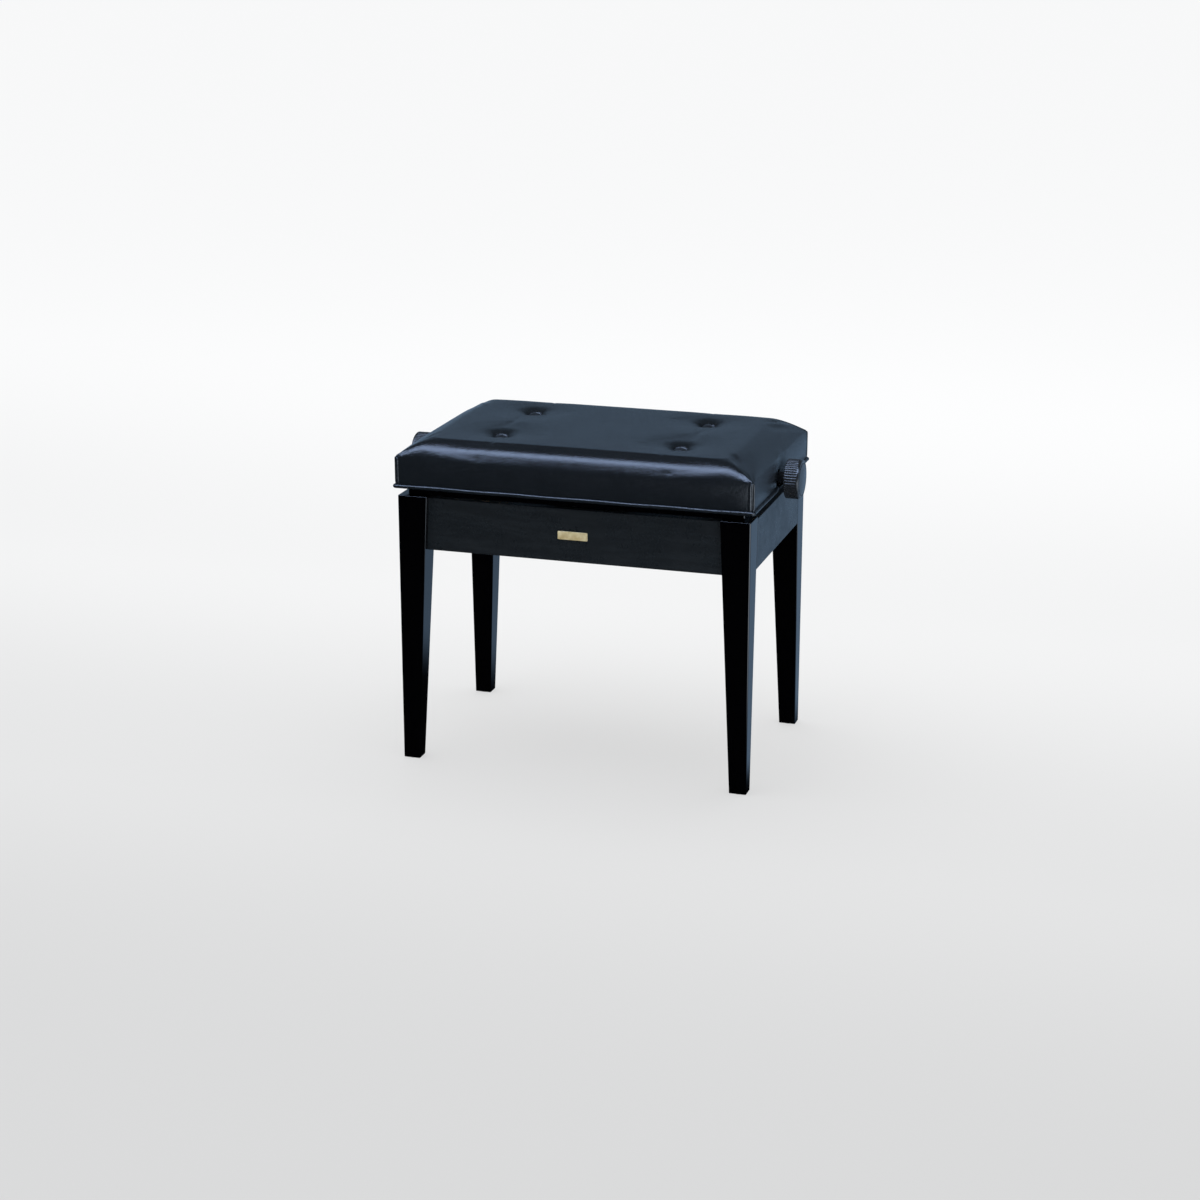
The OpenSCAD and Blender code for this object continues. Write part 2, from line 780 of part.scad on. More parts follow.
module collar() {
    translate([collar_x, 0, axle_z]) difference() {
        along_x(collar_d, collar_w);
        translate([-1, 0, 0]) along_x(spindle_d, collar_w + 2);
        translate([collar_w / 2, 0, 0]) mirror([0, 0, 1]) cylinder(d = set_screw_d, h = collar_d);
    }
}

module thrust_collars() { color(steel) both_sides() collar(); }

module set_screws() {
    color(steel) both_sides() {
        translate([knob_x + knob_t / 2, 0, axle_z + spindle_d / 2]) cylinder(d = set_screw_d, h = 8);
        translate([collar_x + collar_w / 2, 0, axle_z - collar_d / 2])
            cylinder(d = set_screw_d, h = (collar_d - spindle_d) / 2 - 0.2);
    }
}

// Square bar threaded on the spindle, its ends turned down to pins for the arms and rollers
module nut_bar() {
    shoulder = inner_y - 1;
    color(steel) translate([pin_x, 0, axle_z]) difference() {
        union() {
            translate([-nut_side / 2, -shoulder, -nut_side / 2]) cube([nut_side, 2 * shoulder, nut_side]);
            translate([0, -roller_y - roller_w, 0]) along_y(rod_d, 2 * (roller_y + roller_w));
        }
        translate([-nut_side, 0, 0]) along_x(spindle_d + 2 * spindle_play, 2 * nut_side);
    }
}

// A pair of rollers on a rod at x = 0
module rollers() {
    color(nylon) front_and_back() translate([0, roller_y, 0]) difference() {
        along_y(roller_d, roller_w);
        translate([0, -1, 0]) along_y(rod_d, roller_w + 2);
    }
}

// ---- Scissor ----

module centre_rod() {
    reach = outer_y + arm_t;
    color(steel) translate([0, -reach - 2, centre_z]) along_y(rod_d, 2 * (reach + 2));
}

module centre_washers() {
    color(steel) front_and_back() translate([0, inner_y + arm_t, centre_z]) difference() {
        translate([0, 0.1, 0]) along_y(rod_d + 8, arm_gap - 0.2);
        translate([0, -1, 0]) along_y(rod_d, arm_gap + 2);
    }
}

// Arm from its lower pin at the left to its open upper eye at the right, back face at y
module arm(y) {
    color(steel) translate([0, y, centre_z]) rotate([0, -arm_angle, 0]) difference() {
        union() {
            translate([-arm_l / 2, 0, -arm_w / 2]) cube([arm_l, arm_t, arm_w]);
            for (x = [-arm_l / 2, arm_l / 2]) translate([x, 0, 0]) along_y(arm_w, arm_t);
        }
        translate([-arm_l / 2, -1, 0]) along_y(rod_d, arm_t + 2);
        translate([0, -1, 0]) along_y(rod_d + 2 * pivot_play, arm_t + 2);
        translate([arm_l / 2, -1, 0]) {
            for (x = [-eye_slot / 2, eye_slot / 2]) translate([x, 0, 0])
                along_y(rod_d + 2 * eye_play, arm_t + 2);
            translate([-eye_slot / 2, 0, -rod_d / 2 - eye_play])
                cube([eye_slot, arm_t + 2, rod_d + 2 * eye_play]);
        }
    }
}

module outer_arm() { arm(outer_y); }
module inner_arm() { mirror([1, 0, 0]) arm(inner_y); }

module cross_rod() {
    color(steel) translate([0, -roller_y - roller_w, 0]) along_y(rod_d, 2 * (roller_y + roller_w));
}

at_corner(-1, -1) leg();  // leg_front_left
at_corner(1, -1) leg();  // leg_front_right
at_corner(-1, 1) leg();  // leg_back_left
at_corner(1, 1) leg();  // leg_back_right
long_apron();  // apron_front
mirror([0, 1, 0]) long_apron();  // apron_back
mirror([1, 0, 0]) side_apron();  // apron_left
side_apron();  // apron_right
apron_dowels();
each_corner() corner_block();  // corner_blocks
frame_screws();
hanger_bolts();
foot_glides();
lower_rail();  // lower_rail_front
mirror([0, 1, 0]) lower_rail();  // lower_rail_back
cross_member();
guide_plate();  // guide_plate_front
mirror([0, 1, 0]) guide_plate();  // guide_plate_back
nameplate();
base_board_long();  // base_board_front
mirror([0, 1, 0]) base_board_long();  // base_board_back
mirror([1, 0, 0]) base_board_side();  // base_board_left
base_board_side();  // base_board_right
seat_rail_long();  // seat_rail_front
mirror([0, 1, 0]) seat_rail_long();  // seat_rail_back
mirror([1, 0, 0]) seat_rail_side();  // seat_rail_left
seat_rail_side();  // seat_rail_right
seat_screws();
seat_panel();
foam_pad();
vinyl_cover();
bottom_piping();
corner_piping();
tuft_buttons();
tuft_twine();
twine_washers();
mirror([1, 0, 0]) bearing();  // bearing_left
bearing();  // bearing_right
upper_rail();  // upper_rail_front
mirror([0, 1, 0]) upper_rail();  // upper_rail_back
spindle_rod();
mirror([1, 0, 0]) knob();  // knob_left
knob();  // knob_right
knob_caps();
set_screws();
thrust_collars();
mirror([1, 0, 0]) nut_bar();  // nut_bar_left
nut_bar();  // nut_bar_right
translate([-pin_x, 0, axle_z]) rollers();  // nut_rollers_left
translate([pin_x, 0, axle_z]) rollers();  // nut_rollers_right
centre_rod();
centre_washers();
mirror([0, 1, 0]) outer_arm();  // outer_arm_front
outer_arm();  // outer_arm_back
translate([-pin_x, 0, low_z]) cross_rod();  // outer_cross_rod
translate([-pin_x, 0, low_z]) rollers();  // outer_rollers
mirror([0, 1, 0]) inner_arm();  // inner_arm_front
inner_arm();  // inner_arm_back
translate([pin_x, 0, low_z]) cross_rod();  // inner_cross_rod
translate([pin_x, 0, low_z]) rollers();  // inner_rollers
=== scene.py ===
import math

import bmesh
import bpy
import numpy as np
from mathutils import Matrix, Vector


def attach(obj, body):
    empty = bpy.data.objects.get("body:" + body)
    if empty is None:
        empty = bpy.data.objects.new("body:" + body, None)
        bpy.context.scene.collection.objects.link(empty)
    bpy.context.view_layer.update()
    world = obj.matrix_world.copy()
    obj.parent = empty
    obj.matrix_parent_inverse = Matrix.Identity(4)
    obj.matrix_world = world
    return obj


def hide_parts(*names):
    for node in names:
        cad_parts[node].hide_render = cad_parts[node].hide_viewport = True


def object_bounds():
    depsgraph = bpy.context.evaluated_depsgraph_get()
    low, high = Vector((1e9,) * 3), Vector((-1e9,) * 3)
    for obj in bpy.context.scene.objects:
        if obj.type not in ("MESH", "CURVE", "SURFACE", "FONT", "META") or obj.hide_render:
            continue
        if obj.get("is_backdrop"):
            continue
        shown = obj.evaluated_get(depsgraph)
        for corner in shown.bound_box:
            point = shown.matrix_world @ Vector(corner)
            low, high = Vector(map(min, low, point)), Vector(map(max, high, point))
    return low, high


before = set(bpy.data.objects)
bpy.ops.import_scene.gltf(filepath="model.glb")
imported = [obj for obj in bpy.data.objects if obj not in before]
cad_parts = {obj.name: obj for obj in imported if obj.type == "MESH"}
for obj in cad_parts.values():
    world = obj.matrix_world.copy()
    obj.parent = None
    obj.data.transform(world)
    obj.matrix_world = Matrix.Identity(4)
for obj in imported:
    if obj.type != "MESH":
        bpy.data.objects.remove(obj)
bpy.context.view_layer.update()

# ---- Camera ----
# A long lens a little right of the bench's front and a little above its seat, so that the
# uprights stay nearly parallel. It looks at the middle of the frame.
turn, rise, distance = math.radians(17.343), math.radians(17.122), 3.6406
lens, film_w = 73.75, 36
look_at = Vector((-0.0057, -0.0082, 0.2202))
back = Vector((math.sin(turn) * math.cos(rise), -math.cos(turn) * math.cos(rise), math.sin(rise)))
camera = bpy.data.objects.new("camera", bpy.data.cameras.new("camera"))
bpy.context.scene.collection.objects.link(camera)
camera.data.lens, camera.data.sensor_width = lens, film_w
camera.location = look_at + back * distance
camera.rotation_mode = "QUATERNION"
camera.rotation_quaternion = (-back).to_track_quat("-Z", "Y")
bpy.context.scene.camera = camera
bpy.context.scene.view_settings.view_transform = "Standard"


# ---- Studio: floor, light and reflecting cards ----
# A pale sweep of paper under an even white light. Its colour is painted darker towards the camera
# as painted shade, and to the camera it partly glows, which is painted light that keeps the bench's
# shadow faint. Black gloss shows what stands round it, so the studio behind is a cool grey, the side
# of the camera is dark, and one long white softbox hangs over the bench.
def material(name, **sockets):
    """A new material with a Principled shader whose own sockets are set to the given constants,
    an underscore standing for a space. Returns the material, its nodes, its links and the shader."""
    made = bpy.data.materials.new(name)
    made.use_nodes = True
    nodes, links = made.node_tree.nodes, made.node_tree.links
    shader = nodes["Principled BSDF"]
    for socket, value in sockets.items():
        shader.inputs[socket.replace("_", " ")].default_value = value
    return made, nodes, links, shader


def mesh_object(name, points, faces, finish):
    """A smooth-shaded mesh object at the origin from rows of points and faces, in metres."""
    mesh = bpy.data.meshes.new(name)
    mesh.from_pydata(np.asarray(points, float).reshape(-1, 3).tolist(), [], faces)
    mesh.shade_smooth()
    made = bpy.data.objects.new(name, mesh)
    bpy.context.scene.collection.objects.link(made)
    made.data.materials.append(finish)
    return made


def ramp(nodes, links, value, stops):
    """Colour ramp over a value from 0 to 1: each stop is a place and its grey or colour."""
    made = nodes.new("ShaderNodeValToRGB")
    made.color_ramp.interpolation = "EASE"
    points = made.color_ramp.elements
    while len(points) < len(stops):
        points.new(0.5)
    for point, (place, colour) in zip(points, stops):
        point.position = place
        point.color = (*([colour] * 3 if isinstance(colour, (int, float)) else colour), 1)
    links.new(value, made.inputs[0])
    return made.outputs["Color"]


def between(nodes, links, value, low, high):
    """The value's place between low and high, from 0 to 1, eased at both ends."""
    made = nodes.new("ShaderNodeMapRange")
    made.interpolation_type = "SMOOTHSTEP"
    links.new(value, made.inputs["Value"])
    made.inputs["From Min"].default_value, made.inputs["From Max"].default_value = low, high
    return made.outputs["Result"]


def maths(nodes, links, operation, *values):
    """Result of a Math node on two or three values, each a socket or a number."""
    made = nodes.new("ShaderNodeMath")
    made.operation = operation
    for target, value in zip(made.inputs, values):
        if isinstance(value, bpy.types.NodeSocket):
            links.new(value, target)
        else:
            target.default_value = value
    return made.outputs[0]


def mixed(nodes, links, share, first, second):
    """Mix of two shaders: the second one takes the share."""
    made = nodes.new("ShaderNodeMixShader")
    links.new(share, made.inputs[0])
    links.new(first, made.inputs[1])
    links.new(second, made.inputs[2])
    return made.outputs[0]


paper, nodes, links, shader = material("paper_sweep", Roughness=0.9, Specular_IOR_Level=0.1)
place = nodes.new("ShaderNodeSeparateXYZ")
links.new(nodes.new("ShaderNodeTexCoord").outputs["Object"], place.inputs[0])
# Painted shade: the paper's colour darkens towards the camera and lightens far back, a painted falloff of the
# light over the floor.
painted_falloff = ramp(nodes, links, between(nodes, links, place.outputs["Y"], -1.4, 3.2),
            [(0, 0.68), (0.132, 0.75), (0.435, 0.86), (1, 0.975)])
links.new(painted_falloff, shader.inputs["Base Color"])
glow, cool, white = (nodes.new("ShaderNodeEmission") for _ in range(3))
links.new(painted_falloff, glow.inputs["Color"])
beyond = between(nodes, links, place.outputs["Y"], 0.10, 0.45)
beside = maths(nodes, links, "MULTIPLY", between(nodes, links, place.outputs["X"], 0.24, 0.30),
               between(nodes, links, place.outputs["Y"], -0.19, 0.02))
links.new(ramp(nodes, links, maths(nodes, links, "MAXIMUM", beyond, beside),
               [(0, (0.004, 0.004, 0.005)), (1, (0.21, 0.32, 0.47))]), cool.inputs["Color"])
white.inputs["Color"].default_value, white.inputs["Strength"].default_value = (0.75, 0.86, 1, 1), 4
corner = maths(nodes, links, "MULTIPLY", between(nodes, links, place.outputs["X"], 0.40, 0.80),
               between(nodes, links, place.outputs["Y"], -0.05, -0.25))
path = nodes.new("ShaderNodeLightPath")
# Painted light: three quarters of what the camera sees of the paper is an emission in the paper's colour,
# which lifts the bench's shadow on it so that the shadow stays faint.
seen = mixed(nodes, links, maths(nodes, links, "MULTIPLY", path.outputs["Is Camera Ray"], 0.75),
             shader.outputs[0], glow.outputs[0])
mirrored = mixed(nodes, links, corner, cool.outputs[0], white.outputs[0])
links.new(mixed(nodes, links, path.outputs["Is Glossy Ray"], seen, mirrored),
          nodes["Material Output"].inputs[0])
reach = 40
floor = mesh_object("floor", [(-reach, -reach, 0), (reach, -reach, 0), (reach, reach, 0), (-reach, reach, 0)],
                    [(0, 1, 2, 3)], paper)
floor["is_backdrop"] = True

world = bpy.data.worlds.new("studio")
bpy.context.scene.world = world
world.use_nodes = True
nodes, links = world.node_tree.nodes, world.node_tree.links
seen, even, mirrored = (nodes.new("ShaderNodeBackground") for _ in range(3))
seen.inputs["Color"].default_value = (0.93, 0.935, 0.94, 1)
even.inputs["Color"].default_value = (0.96, 0.98, 1, 1)
even.inputs["Strength"].default_value = 0.9
place = nodes.new("ShaderNodeSeparateXYZ")
links.new(nodes.new("ShaderNodeTexCoord").outputs["Generated"], place.inputs[0])
low = maths(nodes, links, "MULTIPLY", between(nodes, links, place.outputs["Y"], -0.1, 0.5),
            between(nodes, links, place.outputs["Z"], 0.62, 0.30))
links.new(ramp(nodes, links, low, [(0, (0.008, 0.009, 0.011)), (1, (0.145, 0.215, 0.31))]),
          mirrored.inputs["Color"])
path = nodes.new("ShaderNodeLightPath")
unseen = mixed(nodes, links, path.outputs["Is Glossy Ray"], even.outputs[0], mirrored.outputs[0])
links.new(mixed(nodes, links, path.outputs["Is Camera Ray"], unseen, seen.outputs[0]),
          nodes["World Output"].inputs[0])

lamp = bpy.data.objects.new("overhead_light", bpy.data.lights.new("overhead_light", "AREA"))
lamp.data.shape, lamp.data.size, lamp.data.size_y, lamp.data.energy = "RECTANGLE", 3.0, 2.2, 42
lamp.location = (-0.5, 0.3, 2.8)
lamp.rotation_euler = (Vector((0, 0, 0.2)) - Vector(lamp.location)).to_track_quat("-Z", "Y").to_euler()
lamp.visible_glossy = False
bpy.context.scene.collection.objects.link(lamp)

softbox, nodes, links, shader = material("softbox")
nodes.remove(shader)
glow = nodes.new("ShaderNodeEmission")
glow.inputs["Color"].default_value, glow.inputs["Strength"].default_value = (0.50, 0.66, 1, 1), 11
links.new(glow.outputs[0], nodes["Material Output"].inputs[0])
card_x, card_front, card_back, card_z = 3, -2.0, -0.65, 2.9
card = mesh_object("softbox_card", [(-card_x, card_front, card_z), (-card_x, card_back, card_z),
                                    (card_x, card_back, card_z), (card_x, card_front, card_z)],
                   [(0, 1, 2, 3)], softbox)
card.visible_camera = card.visible_diffuse = card.visible_shadow = False
card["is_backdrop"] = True


# ---- Legs ----
# Four solid legs, square to the floor on their outer faces and tapered on the two inner ones,
# sprayed with black polyester and buffed to a mirror. The aprons are dowelled between them.
frame_w, frame_d, frame_h, foot_z = 0.520, 0.330, 0.400, 0.0010
foot_w, foot_d, wider, deeper = 0.025, 0.022, 0.019, 0.018
leg_ease, inner_r, outer_r = 0.0007, 0.0009, 0.002


def leg_w(z):
    """A leg's width along X at height z: it grows evenly from the foot to the top."""
    return foot_w + wider * z / frame_h


def leg_d(z):
    """A leg's depth along Y at height z: it grows evenly too."""
    return foot_d + deeper * z / frame_h


def outline(x0, x1, y0, y1, radii, steps=5):
    """Closed anticlockwise rows round boxes x0..x1, y0..y1, one row each. Corner k, counted from
    lowest x and y, is a quarter circle of its own radius."""
    angles = math.pi + np.arange(4)[:, None] * math.pi / 2 + np.linspace(0, math.pi / 2, steps)
    r = np.broadcast_to(radii, (len(x0), 4))[..., None]
    middle_x = np.stack([x0, x1, x1, x0], 1)[..., None] + r * np.array([1, -1, -1, 1])[:, None]
    middle_y = np.stack([y0, y0, y1, y1], 1)[..., None] + r * np.array([1, 1, -1, -1])[:, None]
    rows = np.stack([middle_x + r * np.cos(angles), middle_y + r * np.sin(angles)], -1)
    return rows.reshape(len(x0), -1, 2)


def skin(name, rows, finish):
    """Closed surface through closed rows of points, anticlockwise seen from the last row's side.
    Neighbouring rows are joined by quads, and a fan to its middle closes the first and last row."""
    count, width = rows.shape[:2]
    i, j = np.meshgrid(np.arange(count - 1), np.arange(width), indexing="ij")
    k = (j + 1) % width
    quads = np.stack([i * width + j, i * width + k, (i + 1) * width + k, (i + 1) * width + j], -1)
    ends = np.arange(width)
    after, top, total = (ends + 1) % width, (count - 1) * width, count * width
    fans = np.concatenate([np.stack([np.full(width, total), after, ends], 1),
                           np.stack([np.full(width, total + 1), top + ends, top + after], 1)])
    points = np.concatenate([rows.reshape(-1, 3), rows[[0, -1]].mean(1)])
    return mesh_object(name, points, quads.reshape(-1, 4).tolist() + fans.tolist(), finish)


def eased_block(name, sides, z0, z1, ease, radii, finish):
    """Upright block whose outline at height z is sides(z) = x0, x1, y0, y1. Its upright corners
    are rounded by radii, and its top and bottom edges are quarter circles of radius ease."""
    a = np.linspace(0, math.pi / 2, 5)
    z = np.concatenate([z0 + ease * (1 - np.cos(a)), z1 - ease * (1 - np.cos(a[::-1]))])
    inset = ease * (1 - np.sin(np.concatenate([a, a[::-1]])))
    x0, x1, y0, y1 = (np.broadcast_to(side, z.shape) for side in sides(z))
    shrunk = np.maximum(np.array(radii) - inset[:, None], 1e-5)
    rows = outline(x0 + inset, x1 - inset, y0 + inset, y1 - inset, shrunk)
    level = np.broadcast_to(z[:, None, None], (*rows.shape[:2], 1))
    block = skin(name, np.concatenate([rows, level], 2), finish)
    block.modifiers.new("flat_faces", "WEIGHTED_NORMAL").keep_sharp = True
    return block


def node_group(name, inputs, outputs):
    """An empty shader node group with named float or vector sockets. Returns it with its input
    and output nodes."""
    made = bpy.data.node_groups.new(name, "ShaderNodeTree")
    for kind, sockets in (("INPUT", inputs), ("OUTPUT", outputs)):
        for socket, value in sockets.items():
            vector = value == "vector"
            new = made.interface.new_socket(
                socket, in_out=kind, socket_type="NodeSocketVector" if vector else "NodeSocketFloat")
            if not vector and value is not None:
                new.default_value = value
    return made, made.nodes.new("NodeGroupInput"), made.nodes.new("NodeGroupOutput")


def texture(nodes, links, kind, vector, **sockets):
    """A procedural texture node of that kind on a vector, with constant or linked sockets."""
    made = nodes.new(f"ShaderNodeTex{kind}")
    links.new(vector, made.inputs["Vector"])
    for socket, value in sockets.items():
        target = made.inputs[socket.replace("_", " ")]
        if isinstance(value, bpy.types.NodeSocket):
            links.new(value, target)
        else:
            target.default_value = value
    return made


def stretched(nodes, links, vector, scale):
    """The vector with each coordinate multiplied, which draws a pattern out along an axis."""
    made = nodes.new("ShaderNodeMapping")
    made.inputs["Scale"].default_value = scale
    links.new(vector, made.inputs["Vector"])
    return made.outputs[0]


def sum_of(nodes, links, first, share, second):
    """first + share * second, for two values."""
    return maths(nodes, links, "MULTIPLY_ADD", second, share, first)


def warped(nodes, links, vector, scale, amount):
    """The vector moved about by a slow noise of that scale, by up to amount metres."""
    noise = texture(nodes, links, "Noise", vector, Scale=scale, Detail=2.0)
    made = nodes.new("ShaderNodeVectorMath")
    made.operation = "MULTIPLY_ADD"
    links.new(noise.outputs["Color"], made.inputs[0])
    made.inputs[1].default_value = (amount, amount, amount)
    links.new(vector, made.inputs[2])
    return made.outputs[0]


# Buffed lacquer: slow waves left by the sanding block, haze and fine scratches in the gloss
lacquer_group, taken, given = node_group(
    "buffed_lacquer", {"Place": "vector", "Haze": 0.02, "Gloss": 0.08}, {"Roughness": None, "Height": None})
nodes, links = lacquer_group.nodes, lacquer_group.links
waves = texture(nodes, links, "Noise", taken.outputs["Place"], Scale=9.0, Detail=1.0)
peel = texture(nodes, links, "Noise", taken.outputs["Place"], Scale=420.0, Detail=2.0)
haze = texture(nodes, links, "Noise", taken.outputs["Place"], Scale=28.0, Detail=6.0, Roughness=0.65)
scratch = texture(nodes, links, "Noise", stretched(nodes, links, taken.outputs["Place"], (90, 900, 60)),
                  Scale=2.0, Detail=3.0)
links.new(sum_of(nodes, links, waves.outputs["Fac"], 0.03, peel.outputs["Fac"]), given.inputs["Height"])
marks = sum_of(nodes, links, haze.outputs["Fac"], 0.35, scratch.outputs["Fac"])
links.new(maths(nodes, links, "MULTIPLY_ADD", between(nodes, links, marks, 0.5, 0.95),
                taken.outputs["Haze"], taken.outputs["Gloss"]), given.inputs["Roughness"])


def use_group(nodes, links, group, place, **values):
    """Places a node group fed by the surface's own coordinates, with its values set."""
    made = nodes.new("ShaderNodeGroup")
    made.node_tree = group
    links.new(place, made.inputs["Place"])
    for socket, value in values.items():
        made.inputs[socket].default_value = value
    return made


def bump(nodes, links, shader, height, distance):
    """Feeds a height, in units of distance metres, to the shader's Normal."""
    made = nodes.new("ShaderNodeBump")
    made.inputs["Distance"].default_value, made.inputs["Strength"].default_value = distance, 1.0
    links.new(height, made.inputs["Height"])
    links.new(made.outputs[0], shader.inputs["Normal"])


def object_place(nodes):
    """The surface's coordinates in metres."""
    return nodes.new("ShaderNodeTexCoord").outputs["Object"]


black_lacquer, nodes, links, shader = material(
    "black_lacquer", Base_Color=(0.0004, 0.0004, 0.0007, 1), IOR=1.5)
surface = use_group(nodes, links, lacquer_group, object_place(nodes), Haze=0.05, Gloss=0.07)
links.new(surface.outputs["Roughness"], shader.inputs["Roughness"])
bump(nodes, links, shader, surface.outputs["Height"], 0.0006)

for leg, sx, sy in (("leg_front_left", -1, -1), ("leg_front_right", 1, -1),
                    ("leg_back_left", -1, 1), ("leg_back_right", 1, 1)):
    radii = np.full(4, inner_r)
    radii[{(-1, -1): 0, (1, -1): 1, (1, 1): 2, (-1, 1): 3}[sx, sy]] = outer_r
    sides = (lambda z, sx=sx, sy=sy: (
        -frame_w / 2 if sx < 0 else frame_w / 2 - leg_w(z), leg_w(z) - frame_w / 2 if sx < 0 else frame_w / 2,
        -frame_d / 2 if sy < 0 else frame_d / 2 - leg_d(z), leg_d(z) - frame_d / 2 if sy < 0 else frame_d / 2))
    polished = eased_block("polished_" + leg, sides, foot_z, frame_h, leg_ease, radii, black_lacquer)
    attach(polished, "base")
    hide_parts(leg)


# ---- Aprons ----
# Four boards between the legs, in the same black but sprayed satin, so that the close grain of
# the wood just shows. The front and back ones stand behind the legs' faces, the side ones are flush.
grain_group, taken, given = node_group(
    "wood_grain", {"Place": "vector", "Rings": 60.0}, {"Streak": None, "Pore": None})
nodes, links = grain_group.nodes, grain_group.links
bent = warped(nodes, links, taken.outputs["Place"], 6.0, 0.02)
streaks = texture(nodes, links, "Noise", stretched(nodes, links, bent, (0.06, 1, 1)),
                  Scale=taken.outputs["Rings"], Detail=4.0, Roughness=0.6)
links.new(between(nodes, links, streaks.outputs["Fac"], 0.3, 0.7), given.inputs["Streak"])
pores = texture(nodes, links, "Noise", stretched(nodes, links, taken.outputs["Place"], (60, 1300, 1300)),
                Scale=1.0, Detail=2.0)
links.new(between(nodes, links, pores.outputs["Fac"], 0.5, 0.66), given.inputs["Pore"])


def board_place(nodes, links, turned):
    """The surface's coordinates with X along the grain, which runs along Y when turned."""
    if not turned:
        return object_place(nodes)
    swap = nodes.new("ShaderNodeMapping")
    swap.inputs["Rotation"].default_value = (0, 0, math.pi / 2)
    links.new(object_place(nodes), swap.inputs["Vector"])
    return swap.outputs[0]


def satin_black(name, turned):
    """Satin black over close grain that runs along X, or along Y when turned."""
    made, nodes, links, shader = material(name, IOR=1.45)
    place = board_place(nodes, links, turned)
    grain = use_group(nodes, links, grain_group, place, Rings=160)
    coat = use_group(nodes, links, lacquer_group, place, Haze=0.12, Gloss=0.26)
    depth = sum_of(nodes, links, grain.outputs["Streak"], -0.6, grain.outputs["Pore"])
    links.new(ramp(nodes, links, depth, [(0, (0.0092, 0.0125, 0.0160)), (1, (0.0125, 0.0168, 0.0210))]),
              shader.inputs["Base Color"])
    links.new(coat.outputs["Roughness"], shader.inputs["Roughness"])
    relief = sum_of(nodes, links, grain.outputs["Streak"], -1, grain.outputs["Pore"])
    bump(nodes, links, shader, relief, 0.00003)
    return made


apron_top, apron_edge, inset_y, apron_t = 0.397, 0.0010, 0.009, 0.018
long_h, side_h, long_r, side_r = 0.077, 0.073, 0.0002, 0.0008
long_satin, side_satin = satin_black("satin_black_long", False), satin_black("satin_black_side", True)
for side, sign in (("front", -1), ("back", 1)):
    y = sorted((sign * (frame_d / 2 - inset_y), sign * (frame_d / 2 - inset_y - apron_t)))
    board = eased_block("satin_apron_" + side, lambda z, y=y: (
        leg_w(z) - frame_w / 2, frame_w / 2 - leg_w(z), y[0], y[1]),
        apron_top - long_h, apron_top, apron_edge, np.full(4, long_r), long_satin)
    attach(board, "base")
    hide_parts("apron_" + side)
for side, sign in (("left", -1), ("right", 1)):
    x = sorted((sign * frame_w / 2, sign * (frame_w / 2 - apron_t)))
    board = eased_block("satin_apron_" + side, lambda z, x=x: (
        x[0], x[1], leg_d(z) - frame_d / 2, frame_d / 2 - leg_d(z)),
        apron_top - side_h, apron_top, apron_edge, np.full(4, side_r), side_satin)
    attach(board, "base")
    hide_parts("apron_" + side)


# ---- Nameplate ----
# A small plain plate of brushed brass glued to the front apron, its corners rounded and its
# front edges eased over.
def flat_plate(name, wide, tall, thick, front_y, middle_z, radius, finish):
    """Upright plate facing the front: outlines of wide by tall with rounded corners, set back
    from the front face by a quarter circle of a third of the thickness."""
    a = np.linspace(0, math.pi / 2, 4)
    ease = thick / 3
    y = np.concatenate([[0, thick - ease], thick - ease + ease * np.sin(a[1:]), [thick]])
    inset = np.concatenate([[0, 0], ease * (1 - np.cos(a[1:])), [3 * ease]])
    half_w, half_h = wide / 2 - inset, tall / 2 - inset
    flat = outline(-half_w, half_w, -half_h, half_h, np.maximum(radius - inset[:, None], 1e-5) * np.ones(4))
    rows = np.stack([flat[..., 0], np.broadcast_to((front_y + thick - y)[:, None], flat.shape[:2]),
                     middle_z + flat[..., 1]], -1)
    return skin(name, rows, finish)


brass, nodes, links, shader = material("brushed_brass", Metallic=0.35)
place = object_place(nodes)
strokes = texture(nodes, links, "Noise", stretched(nodes, links, place, (80, 1, 3000)), Scale=1.0, Detail=3.0)
tarnish = texture(nodes, links, "Noise", place, Scale=120.0, Detail=4.0)
links.new(ramp(nodes, links, sum_of(nodes, links, tarnish.outputs["Fac"], 0.25, strokes.outputs["Fac"]),
               [(0.35, (0.66, 0.52, 0.25)), (0.85, (0.92, 0.80, 0.50))]), shader.inputs["Base Color"])
links.new(between(nodes, links, tarnish.outputs["Fac"], -0.4, 1.6), shader.inputs["Roughness"])
bump(nodes, links, shader, strokes.outputs["Fac"], 0.00003)
plate_w, plate_h, plate_t, plate_y, plate_z, plate_r = 0.044, 0.012, 0.001, -0.157, 0.3585, 0.0012
plate = flat_plate("name_plate", plate_w, plate_h, plate_t, plate_y, plate_z, plate_r, brass)
plate.modifiers.new("flat_faces", "WEIGHTED_NORMAL")
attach(plate, "base")
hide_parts("nameplate")


# ---- Joinery inside the frame ----
# Beech dowels and glued corner blocks, left bare; plated wood screws and hanger bolts; and a
# turned plastic glide nailed under each foot.
def bare_wood(name, light, dark, rings, turned=False):
    """Bare wood between two colours, with its pores as fine grooves."""
    made, nodes, links, shader = material(name, Roughness=0.62)
    grain = use_group(nodes, links, grain_group, board_place(nodes, links, turned), Rings=rings)
    depth = sum_of(nodes, links, grain.outputs["Streak"], -0.45, grain.outputs["Pore"])
    links.new(ramp(nodes, links, depth, [(0, dark), (1, light)]), shader.inputs["Base Color"])
    bump(nodes, links, shader, depth, 0.00012)
    return made


